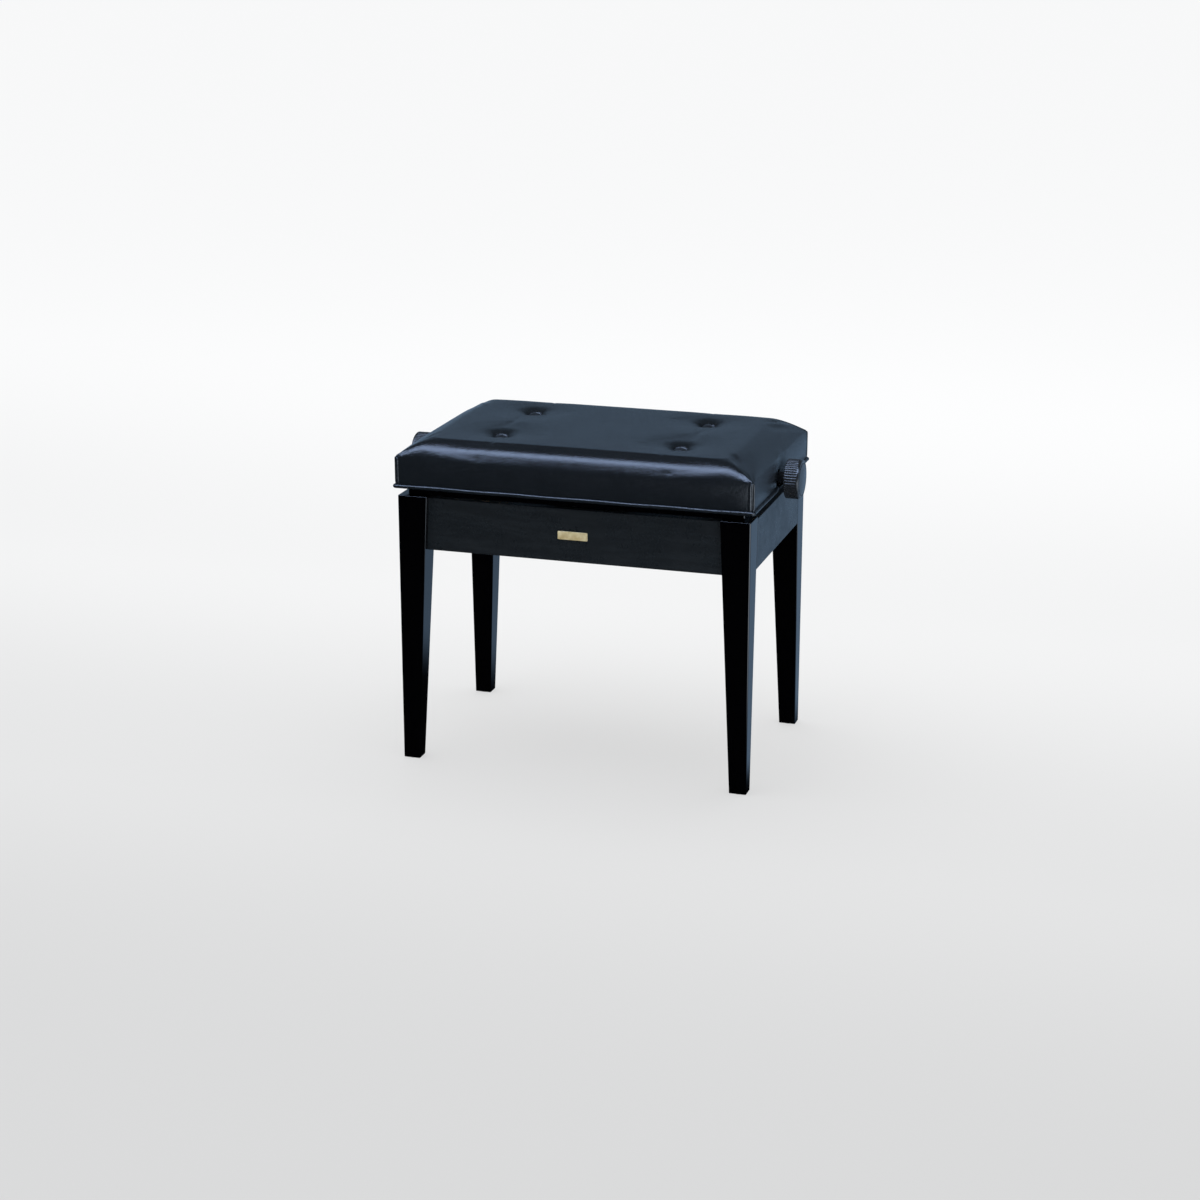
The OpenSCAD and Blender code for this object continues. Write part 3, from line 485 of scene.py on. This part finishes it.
metal_group, taken, given = node_group(
    "worked_metal", {"Place": "vector", "Gloss": 0.25}, {"Tone": None, "Roughness": None, "Height": None})
nodes, links = metal_group.nodes, metal_group.links
cloud = texture(nodes, links, "Noise", taken.outputs["Place"], Scale=45.0, Detail=5.0, Roughness=0.6)
fleck = texture(nodes, links, "Voronoi", taken.outputs["Place"], Scale=320.0)
fine = texture(nodes, links, "Noise", taken.outputs["Place"], Scale=1500.0, Detail=2.0)
spangle = sum_of(nodes, links, cloud.outputs["Fac"], 0.18, fleck.outputs["Distance"])
links.new(between(nodes, links, spangle, 0.35, 0.85), given.inputs["Tone"])
links.new(maths(nodes, links, "MULTIPLY_ADD", between(nodes, links, cloud.outputs["Fac"], 0.35, 0.7),
                0.14, taken.outputs["Gloss"]), given.inputs["Roughness"])
links.new(sum_of(nodes, links, cloud.outputs["Fac"], 0.3, fine.outputs["Fac"]), given.inputs["Height"])


def metal(name, light, dark, gloss, metallic=1.0):
    """Plated or painted metal that drifts between two colours, with a fine uneven surface."""
    made, nodes, links, shader = material(name, Metallic=metallic)
    surface = use_group(nodes, links, metal_group, object_place(nodes), Gloss=gloss)
    links.new(ramp(nodes, links, surface.outputs["Tone"], [(0, dark), (1, light)]),
              shader.inputs["Base Color"])
    links.new(surface.outputs["Roughness"], shader.inputs["Roughness"])
    bump(nodes, links, shader, surface.outputs["Height"], 0.00006)
    return made


def moulded(name, light, dark, gloss, stipple):
    """Moulded plastic between two close colours, with the fine stipple of its tool."""
    made, nodes, links, shader = material(name, IOR=1.48)
    place = object_place(nodes)
    cloud = texture(nodes, links, "Noise", place, Scale=60.0, Detail=3.0)
    grains = texture(nodes, links, "Noise", place, Scale=1800.0, Detail=1.0)
    links.new(ramp(nodes, links, cloud.outputs["Fac"], [(0.3, dark), (0.7, light)]),
              shader.inputs["Base Color"])
    rough = sum_of(nodes, links, cloud.outputs["Fac"], 0.2, grains.outputs["Fac"])
    links.new(between(nodes, links, rough, 0.6 - 2.2 * gloss, 3.1 - 2.2 * gloss), shader.inputs["Roughness"])
    bump(nodes, links, shader, grains.outputs["Fac"], stipple)
    return made


def finish_node(node, finish):
    """Gives a carried node its finish."""
    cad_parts[node].data.materials.clear()
    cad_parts[node].data.materials.append(finish)


beech = bare_wood("bare_beech", (0.60, 0.42, 0.25), (0.40, 0.25, 0.13), 140)
zinc = metal("zinc_plate", (0.66, 0.66, 0.62), (0.40, 0.40, 0.38), 0.28)
glide_plastic = moulded("glide_plastic", (0.035, 0.035, 0.036), (0.022, 0.022, 0.023), 0.35, 0.00003)
finish_node("apron_dowels", beech)
finish_node("corner_blocks", beech)
finish_node("frame_screws", zinc)
finish_node("hanger_bolts", zinc)
finish_node("foot_glides", glide_plastic)

# ---- Lower rails and centre guide ----
# Folded sheet steel dipped in black enamel: two C-section rails between the side aprons, a
# cross member riveted under them and two slotted plates that keep the scissor's middle upright.
enamel = metal("black_enamel", (0.020, 0.021, 0.023), (0.012, 0.012, 0.013), 0.3, 0.0)
for node in ("lower_rail_front", "lower_rail_back", "cross_member", "guide_plate_front", "guide_plate_back"):
    finish_node(node, enamel)

# ---- Base boards ----
# Four black boards lie on the legs under the cushion and lift with it. Only their front and side
# edges show, as a dark band set back under the piping.
board_x, board_y, board_w, board_t, board_r = 0.248, 0.153, 0.044, 0.011, 0.0012
for side, x0, x1, y0, y1 in (
        ("front", -board_x, board_x, -board_y, board_w - board_y),
        ("back", -board_x, board_x, board_y - board_w, board_y),
        ("left", -board_x, board_w - board_x, board_w - board_y, board_y - board_w),
        ("right", board_x - board_w, board_x, board_w - board_y, board_y - board_w)):
    board = eased_block("lacquered_board_" + side, lambda z, sides=(x0, x1, y0, y1): sides,
                        frame_h, frame_h + board_t, board_r, np.full(4, board_r), black_lacquer)
    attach(board, "seat")
    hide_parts("base_board_" + side)

# ---- Seat box ----
# Solid rails screwed up into a panel of beech plywood, all left bare because the cover hides
# them. The upper rails of the lift are screwed under the panel.
long_rail = bare_wood("seat_rail_wood_long", (0.62, 0.46, 0.28), (0.44, 0.30, 0.16), 90)
side_rail = bare_wood("seat_rail_wood_side", (0.62, 0.46, 0.28), (0.44, 0.30, 0.16), 90, True)
plywood, nodes, links, shader = material("plywood", Roughness=0.6)
place = object_place(nodes)
grain = use_group(nodes, links, grain_group, place, Rings=45)
height = nodes.new("ShaderNodeSeparateXYZ")
links.new(place, height.inputs[0])
plies = maths(nodes, links, "PINGPONG", height.outputs["Z"], 0.0014)
layer = between(nodes, links, plies, 0.0005, 0.0009)
links.new(ramp(nodes, links, sum_of(nodes, links, grain.outputs["Streak"], -0.35, layer),
               [(0, (0.40, 0.26, 0.13)), (1, (0.66, 0.50, 0.31))]), shader.inputs["Base Color"])
bump(nodes, links, shader, grain.outputs["Pore"], -0.0001)
finish_node("seat_rail_front", long_rail)
finish_node("seat_rail_back", long_rail)
finish_node("seat_rail_left", side_rail)
finish_node("seat_rail_right", side_rail)
finish_node("seat_panel", plywood)
finish_node("seat_screws", zinc)
finish_node("upper_rail_front", enamel)
finish_node("upper_rail_back", enamel)

# ---- Cushion ----
# Black vinyl over a block of foam, pulled down over the seat box and stapled under it. It rolls
# over the front and back, slopes to the ends, comes to a point at each sewn corner, is drawn in
# round both bearings, and four buttons hold it down.
half_x, half_y, seat_z, border_z, crown, axle_z = 0.263, 0.166, 0.411, 0.458, 0.022, 0.425
tuft_x, tuft_y, foam_z = 0.134, 0.075, 0.4473
roll_in, corner_r, notch_r, box_x, box_y = 0.024, 0.005, 0.013, 0.259, 0.162
front_roll, back_roll, end_slope, arch_y = 0.021, 0.045, 0.047, 0.020
hollow_r, hollow_deep, cup_r, cup_wall, cup_deep = 0.036, 0.0085, 0.0150, 0.0055, 0.0050
swell, inner_fit = 0.002, 0.0032


def spread(half, dense, coarse):
    """Odd, increasing places from -half to half. Their spacing is step within reach of each dense
    (place, reach, step), and grows evenly to coarse away from them."""
    x = np.linspace(0, half, 20001)
    step = np.min([step + 0.3 * np.maximum(0, np.abs(x - at) - reach) for at, reach, step in dense], 0)
    step = np.minimum(coarse, step)
    count = np.concatenate([[0], np.cumsum(np.diff(x) / step[1:])])
    places = np.interp(np.linspace(0, count[-1], int(round(count[-1])) + 1), count, x)
    return np.concatenate([-places[:0:-1], places])


def crown_height(x, y):
    """Height of the cushion's top: the border height plus the crown times two falls, a quarter
    ellipse over the roll to the front and the back, and a parabola over the slope to the ends.
    Each tuft takes away a wide cosine hollow, puckered in five folds, and a narrow cup."""
    to_end = np.clip((np.abs(x) - (half_x - end_slope)) / end_slope, 0, 1)
    roll = np.where(y > 0, back_roll, front_roll)
    to_front = np.clip((np.abs(y) - (half_y - roll)) / roll, 0, 1)
    z = border_z + crown * (1 - to_end ** 2) ** 0.9 * np.sqrt(np.maximum(0, 1 - to_front ** 2))
    r = np.hypot(np.abs(x) - tuft_x, np.abs(y) - tuft_y)
    wide = 0.5 + 0.5 * np.cos(np.pi * np.clip(r / hollow_r, 0, 1))
    cup = np.clip((cup_r - r) / cup_wall, 0, 1)
    around = np.arctan2(np.abs(y) - tuft_y, np.abs(x) - tuft_x)
    pucker = 1 + 0.30 * wide * (1 - wide) * np.cos(5 * around + np.sign(x) + 2 * np.sign(y))
    return z - hollow_deep * pucker * wide ** 1.25 - cup_deep * cup ** 2 * (3 - 2 * cup)


def round_corner(x, y, wide, deep, r):
    """Points on the straight sides of a rectangle of half-sizes wide and deep, moved on to
    quarter circles of radius r at its corners."""
    ax, ay, sx, sy = np.abs(x), np.abs(y), np.sign(x), np.sign(y)
    a = np.pi / 4 * (1 + np.minimum(1, (ay - deep + r) / r) - np.minimum(1, (ax - wide + r) / r))
    corner = (ax > wide - r) & (ay > deep - r)
    return (np.where(corner, sx * (wide - r + r * np.cos(a)), x),
            np.where(corner, sy * (deep - r + r * np.sin(a)), y))


columns = spread(1, [(tuft_x / (half_x - roll_in), 0.045, 0.009), (1, 0.03, 0.0055)], 0.023)
lines = spread(1, [(0, 0.12, 0.014), (tuft_y / (half_y - roll_in), 0.075, 0.015), (1, 0.05, 0.009)], 0.036)
nx, ny = len(columns) - 1, len(lines) - 1
# Share of each side's half-length at every point of the loop, anticlockwise from the front left
loop_u = np.concatenate([columns[:-1], np.ones(ny), columns[:0:-1], -np.ones(ny)])
loop_v = np.concatenate([-np.ones(nx), lines[:-1], np.ones(nx), lines[:0:-1]])
on_end = np.abs(loop_u) == 1
on_end[[0, nx, nx + ny, 2 * nx + ny]] = False


def loop_at(wide, deep, r):
    """The loop laid round a rectangle of half-sizes wide and deep with corners of radius r."""
    return round_corner(loop_u * wide, loop_v * deep, wide, deep, r)


def bearing_edge(y):
    """The cover's lower edge on an end face: level, but within arch_y of the spindle it runs
    in, up and over the bearing in an arch. Returns its y and z for places y along the end."""
    side, bow = axle_z - seat_z, math.pi / 2 * notch_r
    s = np.clip(np.abs(y) / arch_y, 0, 1) * (bow + side + arch_y - notch_r)
    a = np.clip(s / notch_r, 0, math.pi / 2)
    down = np.clip(s - bow, 0, side)
    out = np.clip(s - bow - side, 0, None)
    edge_y = np.sign(y) * (notch_r * np.sin(a) + out)
    return (np.where(np.abs(y) < arch_y, edge_y, y),
            np.where(np.abs(y) < arch_y, axle_z + notch_r * np.cos(a) - down, seat_z))


def drawn_in(y, z):
    """How far the end faces are pulled in towards the bearing: most at the edge of the notch,
    falling off as a bell with the distance from it, which counts less upwards."""
    away = np.hypot(y, np.where(z > axle_z, 0.72, 1) * (z - axle_z))
    return 0.0066 * np.exp(-(np.maximum(0, away - notch_r) / 0.0115) ** 2)


rows, pins = [], []
edge_y, edge_z = bearing_edge(loop_v * half_y)
from_corner = np.hypot((1 - np.abs(loop_u)) * half_x, (1 - np.abs(loop_v)) * half_y)
ridge = (0.0017 * np.exp(-((from_corner - 0.0040) / 0.0014) ** 2)
         - 0.0016 * np.exp(-(from_corner / 0.0014) ** 2))
x_in, y_in = loop_at(box_x, box_y, 0.0015)
for height in (1.0, 0.5, 0.0):
    z = np.where(on_end, edge_z, seat_z) * (1 - height) + foam_z * height
    y = np.where(on_end, edge_y * (1 - height) + y_in * height, y_in)
    pull = np.where(on_end, np.maximum(0, drawn_in(y, z) - inner_fit), 0)
    rows.append(np.stack([x_in - np.sign(x_in) * pull, y, z], 1))
    pins.append(np.ones(len(z)))
x_out, y_out = loop_at(half_x, half_y, corner_r)
for t in np.linspace(0, 1, 9):
    z = np.where(on_end, edge_z, seat_z) * (1 - t) + border_z * t
    z = z - 0.0030 * t ** 4 * np.exp(-(from_corner / 0.007) ** 2)
    y = np.where(on_end, edge_y * (1 - t) + y_out * t, y_out)
    bulge = (0.0018 * np.sin(np.pi * t) ** 0.8 - 0.0006 * (1 - t)) * np.clip(from_corner / 0.02, 0, 1)
    bulge += ridge * np.clip((1 - t) / 0.12, 0, 1)
    flat = np.stack([np.where(np.abs(x_out) > half_x - corner_r, np.sign(x_out), 0),
                     np.where(np.abs(y_out) > half_y - corner_r, np.sign(y_out), 0)], 1)
    flat /= np.maximum(1, np.linalg.norm(flat, axis=1))[:, None]
    pull = np.where(on_end, drawn_in(y, z), 0)
    x = x_out + flat[:, 0] * bulge - np.sign(x_out) * pull
    rows.append(np.stack([x, y + flat[:, 1] * bulge, z], 1))
    pins.append(np.maximum(1.0 * (t < 0.05), np.clip(1.5 - from_corner / 0.006, 0, 1)) if t < 0.95
                else np.clip(1.2 - from_corner / 0.01, 0, 1))
for a in np.linspace(0, math.pi / 2, 9)[1:]:
    d = roll_in * (1 - math.cos(a))
    x, y = loop_at(half_x - d, half_y - d, corner_r * (1 - a / math.pi * 2) + 1e-5)
    rows.append(np.stack([x, y, crown_height(x, y)], 1))
    pins.append(np.zeros(len(x)))
rings = np.array(rows)
grid_x, grid_y = np.meshgrid(columns[1:-1] * (half_x - roll_in), lines[1:-1] * (half_y - roll_in),
                             indexing="ij")
grid = np.stack([grid_x, grid_y, crown_height(grid_x, grid_y)], -1)
turns, width = rings.shape[:2]
points = np.concatenate([rings.reshape(-1, 3), grid.reshape(-1, 3)])
i, j = np.meshgrid(np.arange(turns - 1), np.arange(width), indexing="ij")
k = (j + 1) % width
sides = np.stack([i * width + j, i * width + k, (i + 1) * width + k, (i + 1) * width + j], -1).reshape(-1, 4)
# Number of every point of the top: the last ring round its edge, the grid inside it
last = (turns - 1) * width
top = np.empty((nx + 1, ny + 1), int)
top[1:-1, 1:-1] = turns * width + np.arange((nx - 1) * (ny - 1)).reshape(nx - 1, ny - 1)
top[:-1, 0] = last + np.arange(nx)
top[-1, :-1] = last + nx + np.arange(ny)
top[:0:-1, -1] = last + nx + ny + np.arange(nx)
top[0, :0:-1] = last + 2 * nx + ny + np.arange(ny)
lid = np.stack([top[:-1, :-1], top[1:, :-1], top[1:, 1:], top[:-1, 1:]], -1).reshape(-1, 4)
faces = sides.tolist() + lid.tolist()

grain_of_vinyl, taken, given = node_group("vinyl_grain", {"Place": "vector"}, {"Height": None, "Wear": None})
nodes, links = grain_of_vinyl.nodes, grain_of_vinyl.links
bent = warped(nodes, links, taken.outputs["Place"], 220.0, 0.0016)
pebble = texture(nodes, links, "Voronoi", bent, Scale=760.0)
crease = texture(nodes, links, "Noise", bent, Scale=520.0, Detail=2.0, Roughness=0.5)
slack = texture(nodes, links, "Noise", taken.outputs["Place"], Scale=24.0, Detail=3.0)
mound = sum_of(nodes, links, crease.outputs["Fac"], -0.9, pebble.outputs["Distance"])
links.new(sum_of(nodes, links, mound, 0.5, slack.outputs["Fac"]), given.inputs["Height"])
links.new(slack.outputs["Fac"], given.inputs["Wear"])


def vinyl(name, gloss):
    """Black vinyl with a cold cast: fine pebble grain, slight slackness, uneven shine."""
    made, nodes, links, shader = material(name, IOR=1.5)
    grain = use_group(nodes, links, grain_of_vinyl, object_place(nodes))
    links.new(ramp(nodes, links, grain.outputs["Height"],
                   [(0.15, (0.0070, 0.0098, 0.0135)), (0.75, (0.0100, 0.0140, 0.0190))]),
              shader.inputs["Base Color"])
    links.new(maths(nodes, links, "MULTIPLY_ADD", grain.outputs["Wear"], 0.10, gloss),
              shader.inputs["Roughness"])
    bump(nodes, links, shader, grain.outputs["Height"], 0.00022)
    return made


black_vinyl = vinyl("black_vinyl", 0.16)
cushion = mesh_object("cushion", points, faces, black_vinyl)
from_tuft = np.hypot(np.abs(points[:, 0]) - tuft_x, np.abs(points[:, 1]) - tuft_y)
held = np.concatenate([*pins, np.clip((0.016 - from_tuft[turns * width:]) / 0.004, 0, 1)])
near_bearing = (np.abs(points[:, 0]) > 0.2) & (np.hypot(points[:, 1], points[:, 2] - axle_z) < arch_y)
held[near_bearing] = 1
pinned = cushion.vertex_groups.new(name="stapled")
for weight in np.unique(np.round(held, 1)):
    if weight > 0:
        pinned.add(np.flatnonzero(np.round(held, 1) == weight).tolist(), float(weight), "REPLACE")
cloth = cushion.modifiers.new("stuffing", "CLOTH")
cloth.settings.use_pressure, cloth.settings.uniform_pressure_force = True, 4
cloth.settings.vertex_group_mass = "stapled"
cloth.settings.effector_weights.gravity = 0
for step in range(1, 21):
    bpy.context.scene.frame_set(step)
swollen = np.empty(len(points) * 3)
evaluated = cushion.evaluated_get(bpy.context.evaluated_depsgraph_get())
evaluated.data.vertices.foreach_get("co", swollen)
move = swollen.reshape(-1, 3) - points
far = np.linalg.norm(move, axis=1)
calm = np.clip((from_tuft - 0.02) / 0.05, 0, 1)
move *= (np.minimum(1, swell / np.maximum(far, 1e-9)) * (1 - held) * calm)[:, None]
cushion.modifiers.remove(cloth)
cushion.vertex_groups.remove(pinned)
cushion.data.vertices.foreach_set("co", (points + move).ravel())
bpy.context.scene.frame_set(1)
smooth = cushion.modifiers.new("smooth", "SUBSURF")
smooth.levels = smooth.render_levels = 1
finer = bmesh.new()
finer.from_object(cushion, bpy.context.evaluated_depsgraph_get())
bmesh.ops.holes_fill(finer, edges=[edge for edge in finer.edges if edge.is_boundary])
cushion.modifiers.remove(smooth)
finer.to_mesh(cushion.data)
finer.free()
cushion.data.shade_smooth()
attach(cushion, "seat")
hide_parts("vinyl_cover", "foam_pad", "corner_piping")


# ---- Piping ----
# A welt of the same vinyl round a cord, sewn into the cover's lower edge. It stands proud at the
# corners and stops at each side where the spindle comes out.
def tube(name, spine, radius, finish, sides=16):
    """Tube of the given radii round an open path: rings square to the path's direction, set out
    from two directions, one level and one across it. Small last rings round off both ends."""
    ahead = np.gradient(spine, axis=0)
    ahead /= np.linalg.norm(ahead, axis=1)[:, None]
    up = np.array([0.0, 0, 1]) if np.abs(ahead[:, 2]).max() < 0.9 else np.array([0.0, 1, 0])
    across = np.cross(up, ahead)
    across /= np.linalg.norm(across, axis=1)[:, None]
    above = np.cross(ahead, across)
    a = np.linspace(0, 2 * math.pi, sides, endpoint=False)[:, None]
    ring = np.cos(a) * across[:, None] + np.sin(a) * above[:, None]
    return skin(name, spine[:, None] + ring * np.asarray(radius).reshape(-1, 1, 1), finish)


black_welt = vinyl("black_welt", 0.2)
welt_r, welt_x, welt_y, welt_z = 0.0028, half_x + 0.0008, half_y + 0.0008, seat_z + 0.003
for side, sign in (("front", -1), ("back", 1)):
    quarter = np.linspace(0, math.pi / 2, 14)
    bend = 0.006
    end_y = np.linspace(notch_r + 0.001, welt_y - bend, 46)[:-1]
    run_x = np.linspace(welt_x - bend, bend - welt_x, 150)[1:-1]
    tip = 0.0016 * np.sin(2 * quarter) ** 2
    round_x = welt_x - bend + (bend + tip) * np.cos(quarter)
    round_y = welt_y - bend + (bend + tip) * np.sin(quarter)
    half = [np.stack([np.full(end_y.size, welt_x), end_y], 1), np.stack([round_x, round_y], 1)]
    flat = np.concatenate([*half, np.stack([run_x, np.full(run_x.size, welt_y)], 1),
                           *[part[::-1] * (-1, 1) for part in half[::-1]]])
    end = np.minimum(np.arange(len(flat)), np.arange(len(flat))[::-1])
    inwards = 0.004 * np.exp(-(end / 3.0) ** 2)
    spine = np.column_stack([flat[:, 0] - np.sign(flat[:, 0]) * inwards, flat[:, 1] * sign,
                             welt_z + 0.0003 * np.sin(flat[:, 0] * 55) + inwards * 0.3])
    if sign < 0:
        spine = spine[::-1]
    thick = welt_r * np.sqrt(np.clip((end + 0.15) / 1.5, 0, 1))
    welt = tube("piping_" + side, spine, thick, black_welt)
    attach(welt, "seat")
    if sign < 0:
        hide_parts("bottom_piping")

# ---- Corner seams and hem ----
# At each corner the cover is folded and sewn, which leaves a rounded ridge up one face, over the
# top and down the other. The cover's edge is turned in flat under the seat box.
seam_r, seam_low, seam_rise, seam_arch = 0.0014, 0.4165, 0.0360, 0.0032
hem_in, hem_gap, hem_t = 0.001, 0.0005, 0.0006
for n, (sx, sy) in enumerate(((-1, -1), (1, -1), (-1, 1), (1, 1))):
    climb = np.linspace(0, 1, 18)
    over = np.linspace(0, math.pi, 13)[1:-1]
    plan = np.radians(np.concatenate([np.full(18, 84), 51 + 33 * np.cos(over), np.full(18, 18)]))
    seam_top = seam_low + seam_rise
    spine_z = np.concatenate([seam_low + seam_rise * climb, seam_top + seam_arch * np.sin(over),
                              seam_top - seam_rise * climb])
    out = corner_r + 0.0002
    spine = np.column_stack([sx * (half_x - corner_r + out * np.cos(plan)),
                             sy * (half_y - corner_r + out * np.sin(plan)), spine_z])
    end = np.minimum(np.arange(len(spine)), np.arange(len(spine))[::-1])
    fold = tube(f"corner_seam_{n + 1}", spine[::-1] if sx * sy > 0 else spine,
                seam_r * np.sqrt(np.clip((end + 0.15) / 2, 0, 1)), black_welt, 12)
    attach(fold, "seat")
for side, x0, x1, y0, y1 in (
        ("front", hem_in - half_x, half_x - hem_in, hem_in - half_y, -board_y - hem_gap),
        ("back", hem_in - half_x, half_x - hem_in, board_y + hem_gap, half_y - hem_in),
        ("left", hem_in - half_x, -board_x - hem_gap, -board_y, board_y),
        ("right", board_x + hem_gap, half_x - hem_in, -board_y, board_y)):
    hem = eased_block("vinyl_hem_" + side, lambda z, sides=(x0, x1, y0, y1): sides,
                      seat_z - 0.0001 - hem_t, seat_z - 0.0001, 0.0002, np.full(4, 0.0005), black_welt)
    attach(hem, "seat")

# ---- Buttons, twine and washers ----
# Vinyl-covered buttons, pulled down by waxed twine that goes through the foam and the panel and
# is tied to a steel washer underneath.
button_vinyl = vinyl("button_vinyl", 0.33)
button_z, button_low, dome_r, dome_angle = 0.4690, 0.0020, 0.0126, math.radians(58)


def turned_shape(name, middle, profile, finish, axis="Z", sides=48, wave=None):
    """Solid of revolution about an axis through middle: profile rows are (along the axis, radius),
    from one pole to the other. wave, if given, is added to the radius, by row and angle."""
    a = np.linspace(0, 2 * math.pi, sides, endpoint=False)
    r = np.repeat(profile[:, 1:2], sides, 1) + (0 if wave is None else wave(profile, a))
    along = np.repeat(profile[:, :1], sides, 1)
    one, two = r * np.cos(a), r * np.sin(a)
    rows = np.stack([one, two, along] if axis == "Z" else [along, one, two], -1) + np.asarray(middle)
    return skin(name, rows, finish)


dome = np.linspace(dome_angle, 0, 13)
button_profile = np.concatenate([
    [(0, 0.0002), (0, 0.0092), (0.0008, 0.0104)],
    np.stack([button_low + dome_r * (np.cos(dome) - np.cos(dome_angle)), dome_r * np.sin(dome) + 0.0001], 1)])
for n, (sx, sy) in enumerate(((-1, -1), (1, -1), (-1, 1), (1, 1))):
    button = turned_shape(f"tuft_button_{n + 1}", (sx * tuft_x, sy * tuft_y, button_z), button_profile,
                          button_vinyl)
    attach(button, "seat")
    if n == 0:
        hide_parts("tuft_buttons")
waxed = moulded("waxed_twine", (0.62, 0.58, 0.47), (0.50, 0.45, 0.34), 0.3, 0.0001)
finish_node("tuft_twine", waxed)
finish_node("twine_washers", zinc)

# ---- Spindle, bearings and knobs ----
# A turned steel spindle right through the seat, in two black bearings let into the side rails.
# Each end has a moulded knob with fine flutes and a smooth, slightly domed end cap.
knob_black = moulded("knob_plastic", (0.018, 0.021, 0.026), (0.013, 0.016, 0.020), 0.31, 0.00002)
steel = metal("turned_steel", (0.62, 0.63, 0.64), (0.42, 0.43, 0.44), 0.2)
bearing_black = moulded("bearing_plastic", (0.012, 0.012, 0.013), (0.007, 0.007, 0.008), 0.14, 0.00001)
flutes, flute_d, knob_r, knob_x, hub_r, hub_l = 44, 0.0012, 0.0285, 0.272, 0.009, 0.0166
band_x, shoulder_r, cap_x, cap_r, cap_crown = 0.0192, 0.0024, 0.0221, 0.0222, 0.0012


def fluting(profile, a):
    """Cuts the flutes: sharp grooves between half-round ribs, whose height is one minus the root
    of one minus the square of the place across the rib. They run between the two shoulders."""
    x, r = profile.T
    on_band = np.clip((x - 0.0006) / 0.0012, 0, 1) * np.clip((band_x - x) / 0.0016, 0, 1)
    on_band *= r > knob_r - 0.002
    across = 2 * ((a * flutes / (2 * math.pi)) % 1) - 1
    return -flute_d * on_band[:, None] * (1 - np.sqrt(1 - 0.97 * across ** 2))


quarter = np.linspace(0, math.pi / 2, 9)
knob_profile = np.concatenate([
    [(-hub_l, 0.0001), (-hub_l, hub_r - 0.0004), (0.0004 - hub_l, hub_r), (-0.0006, hub_r),
     (0, hub_r + 0.0006), (0, 0.020), (0, knob_r - 0.0012), (0.0004, knob_r - 0.0004)],
    np.stack([np.linspace(0.0010, 0.0191, 14), np.full(14, knob_r)], 1),
    np.stack([0.0194 + shoulder_r * np.sin(quarter), knob_r - shoulder_r + shoulder_r * np.cos(quarter)], 1),
    [(0.0218, 0.0236), (0.0214, 0.0232), (0.0206, 0.0231), (0.0206, 0.0001)]])
inwards = np.linspace(cap_r, 0.0001, 12)
cap_profile = np.concatenate([
    [(0.0160, 0.0001), (0.0160, 0.0225), (0.0206, 0.0229), (0.0214, 0.02295), (0.0220, 0.0226)],
    np.stack([cap_x + cap_crown * (1 - (inwards / cap_r) ** 2), inwards], 1)])
for side, sign in (("left", -1), ("right", 1)):
    for name, node, profile, body, count in (
            ("fluted_knob_", "knob_" + side, knob_profile, "spindle", flutes * 10),
            ("knob_cap_", "knob_caps", cap_profile, "spindle", 96)):
        fluted = profile is knob_profile
        wave = (lambda p, a, sign=sign: fluting(p * (sign, 1), a)) if fluted else None
        piece = turned_shape(name + side, (sign * knob_x, 0, axle_z), (profile * (sign, 1))[::sign],
                             knob_black, "X", count, wave)
        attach(piece, body)
        if fluted or sign < 0:
            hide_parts(node)
    finish_node("bearing_" + side, bearing_black)
for node in ("spindle_rod", "thrust_collars", "set_screws"):
    finish_node(node, steel)

# ---- Nut bars and scissor ----
# Square steel bars threaded on the spindle push the scissor's upper ends apart and together. The
# arms are enamelled strip, on plated rods with nylon rollers that run in the rails.
nylon = moulded("nylon", (0.74, 0.73, 0.66), (0.62, 0.61, 0.54), 0.3, 0.00002)
for node in ("nut_bar_left", "nut_bar_right", "centre_rod", "centre_washers", "outer_cross_rod",
             "inner_cross_rod"):
    finish_node(node, zinc)
for node in ("outer_arm_front", "outer_arm_back", "inner_arm_front", "inner_arm_back"):
    finish_node(node, enamel)
for node in ("nut_rollers_left", "nut_rollers_right", "outer_rollers", "inner_rollers"):
    finish_node(node, nylon)

low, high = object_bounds()
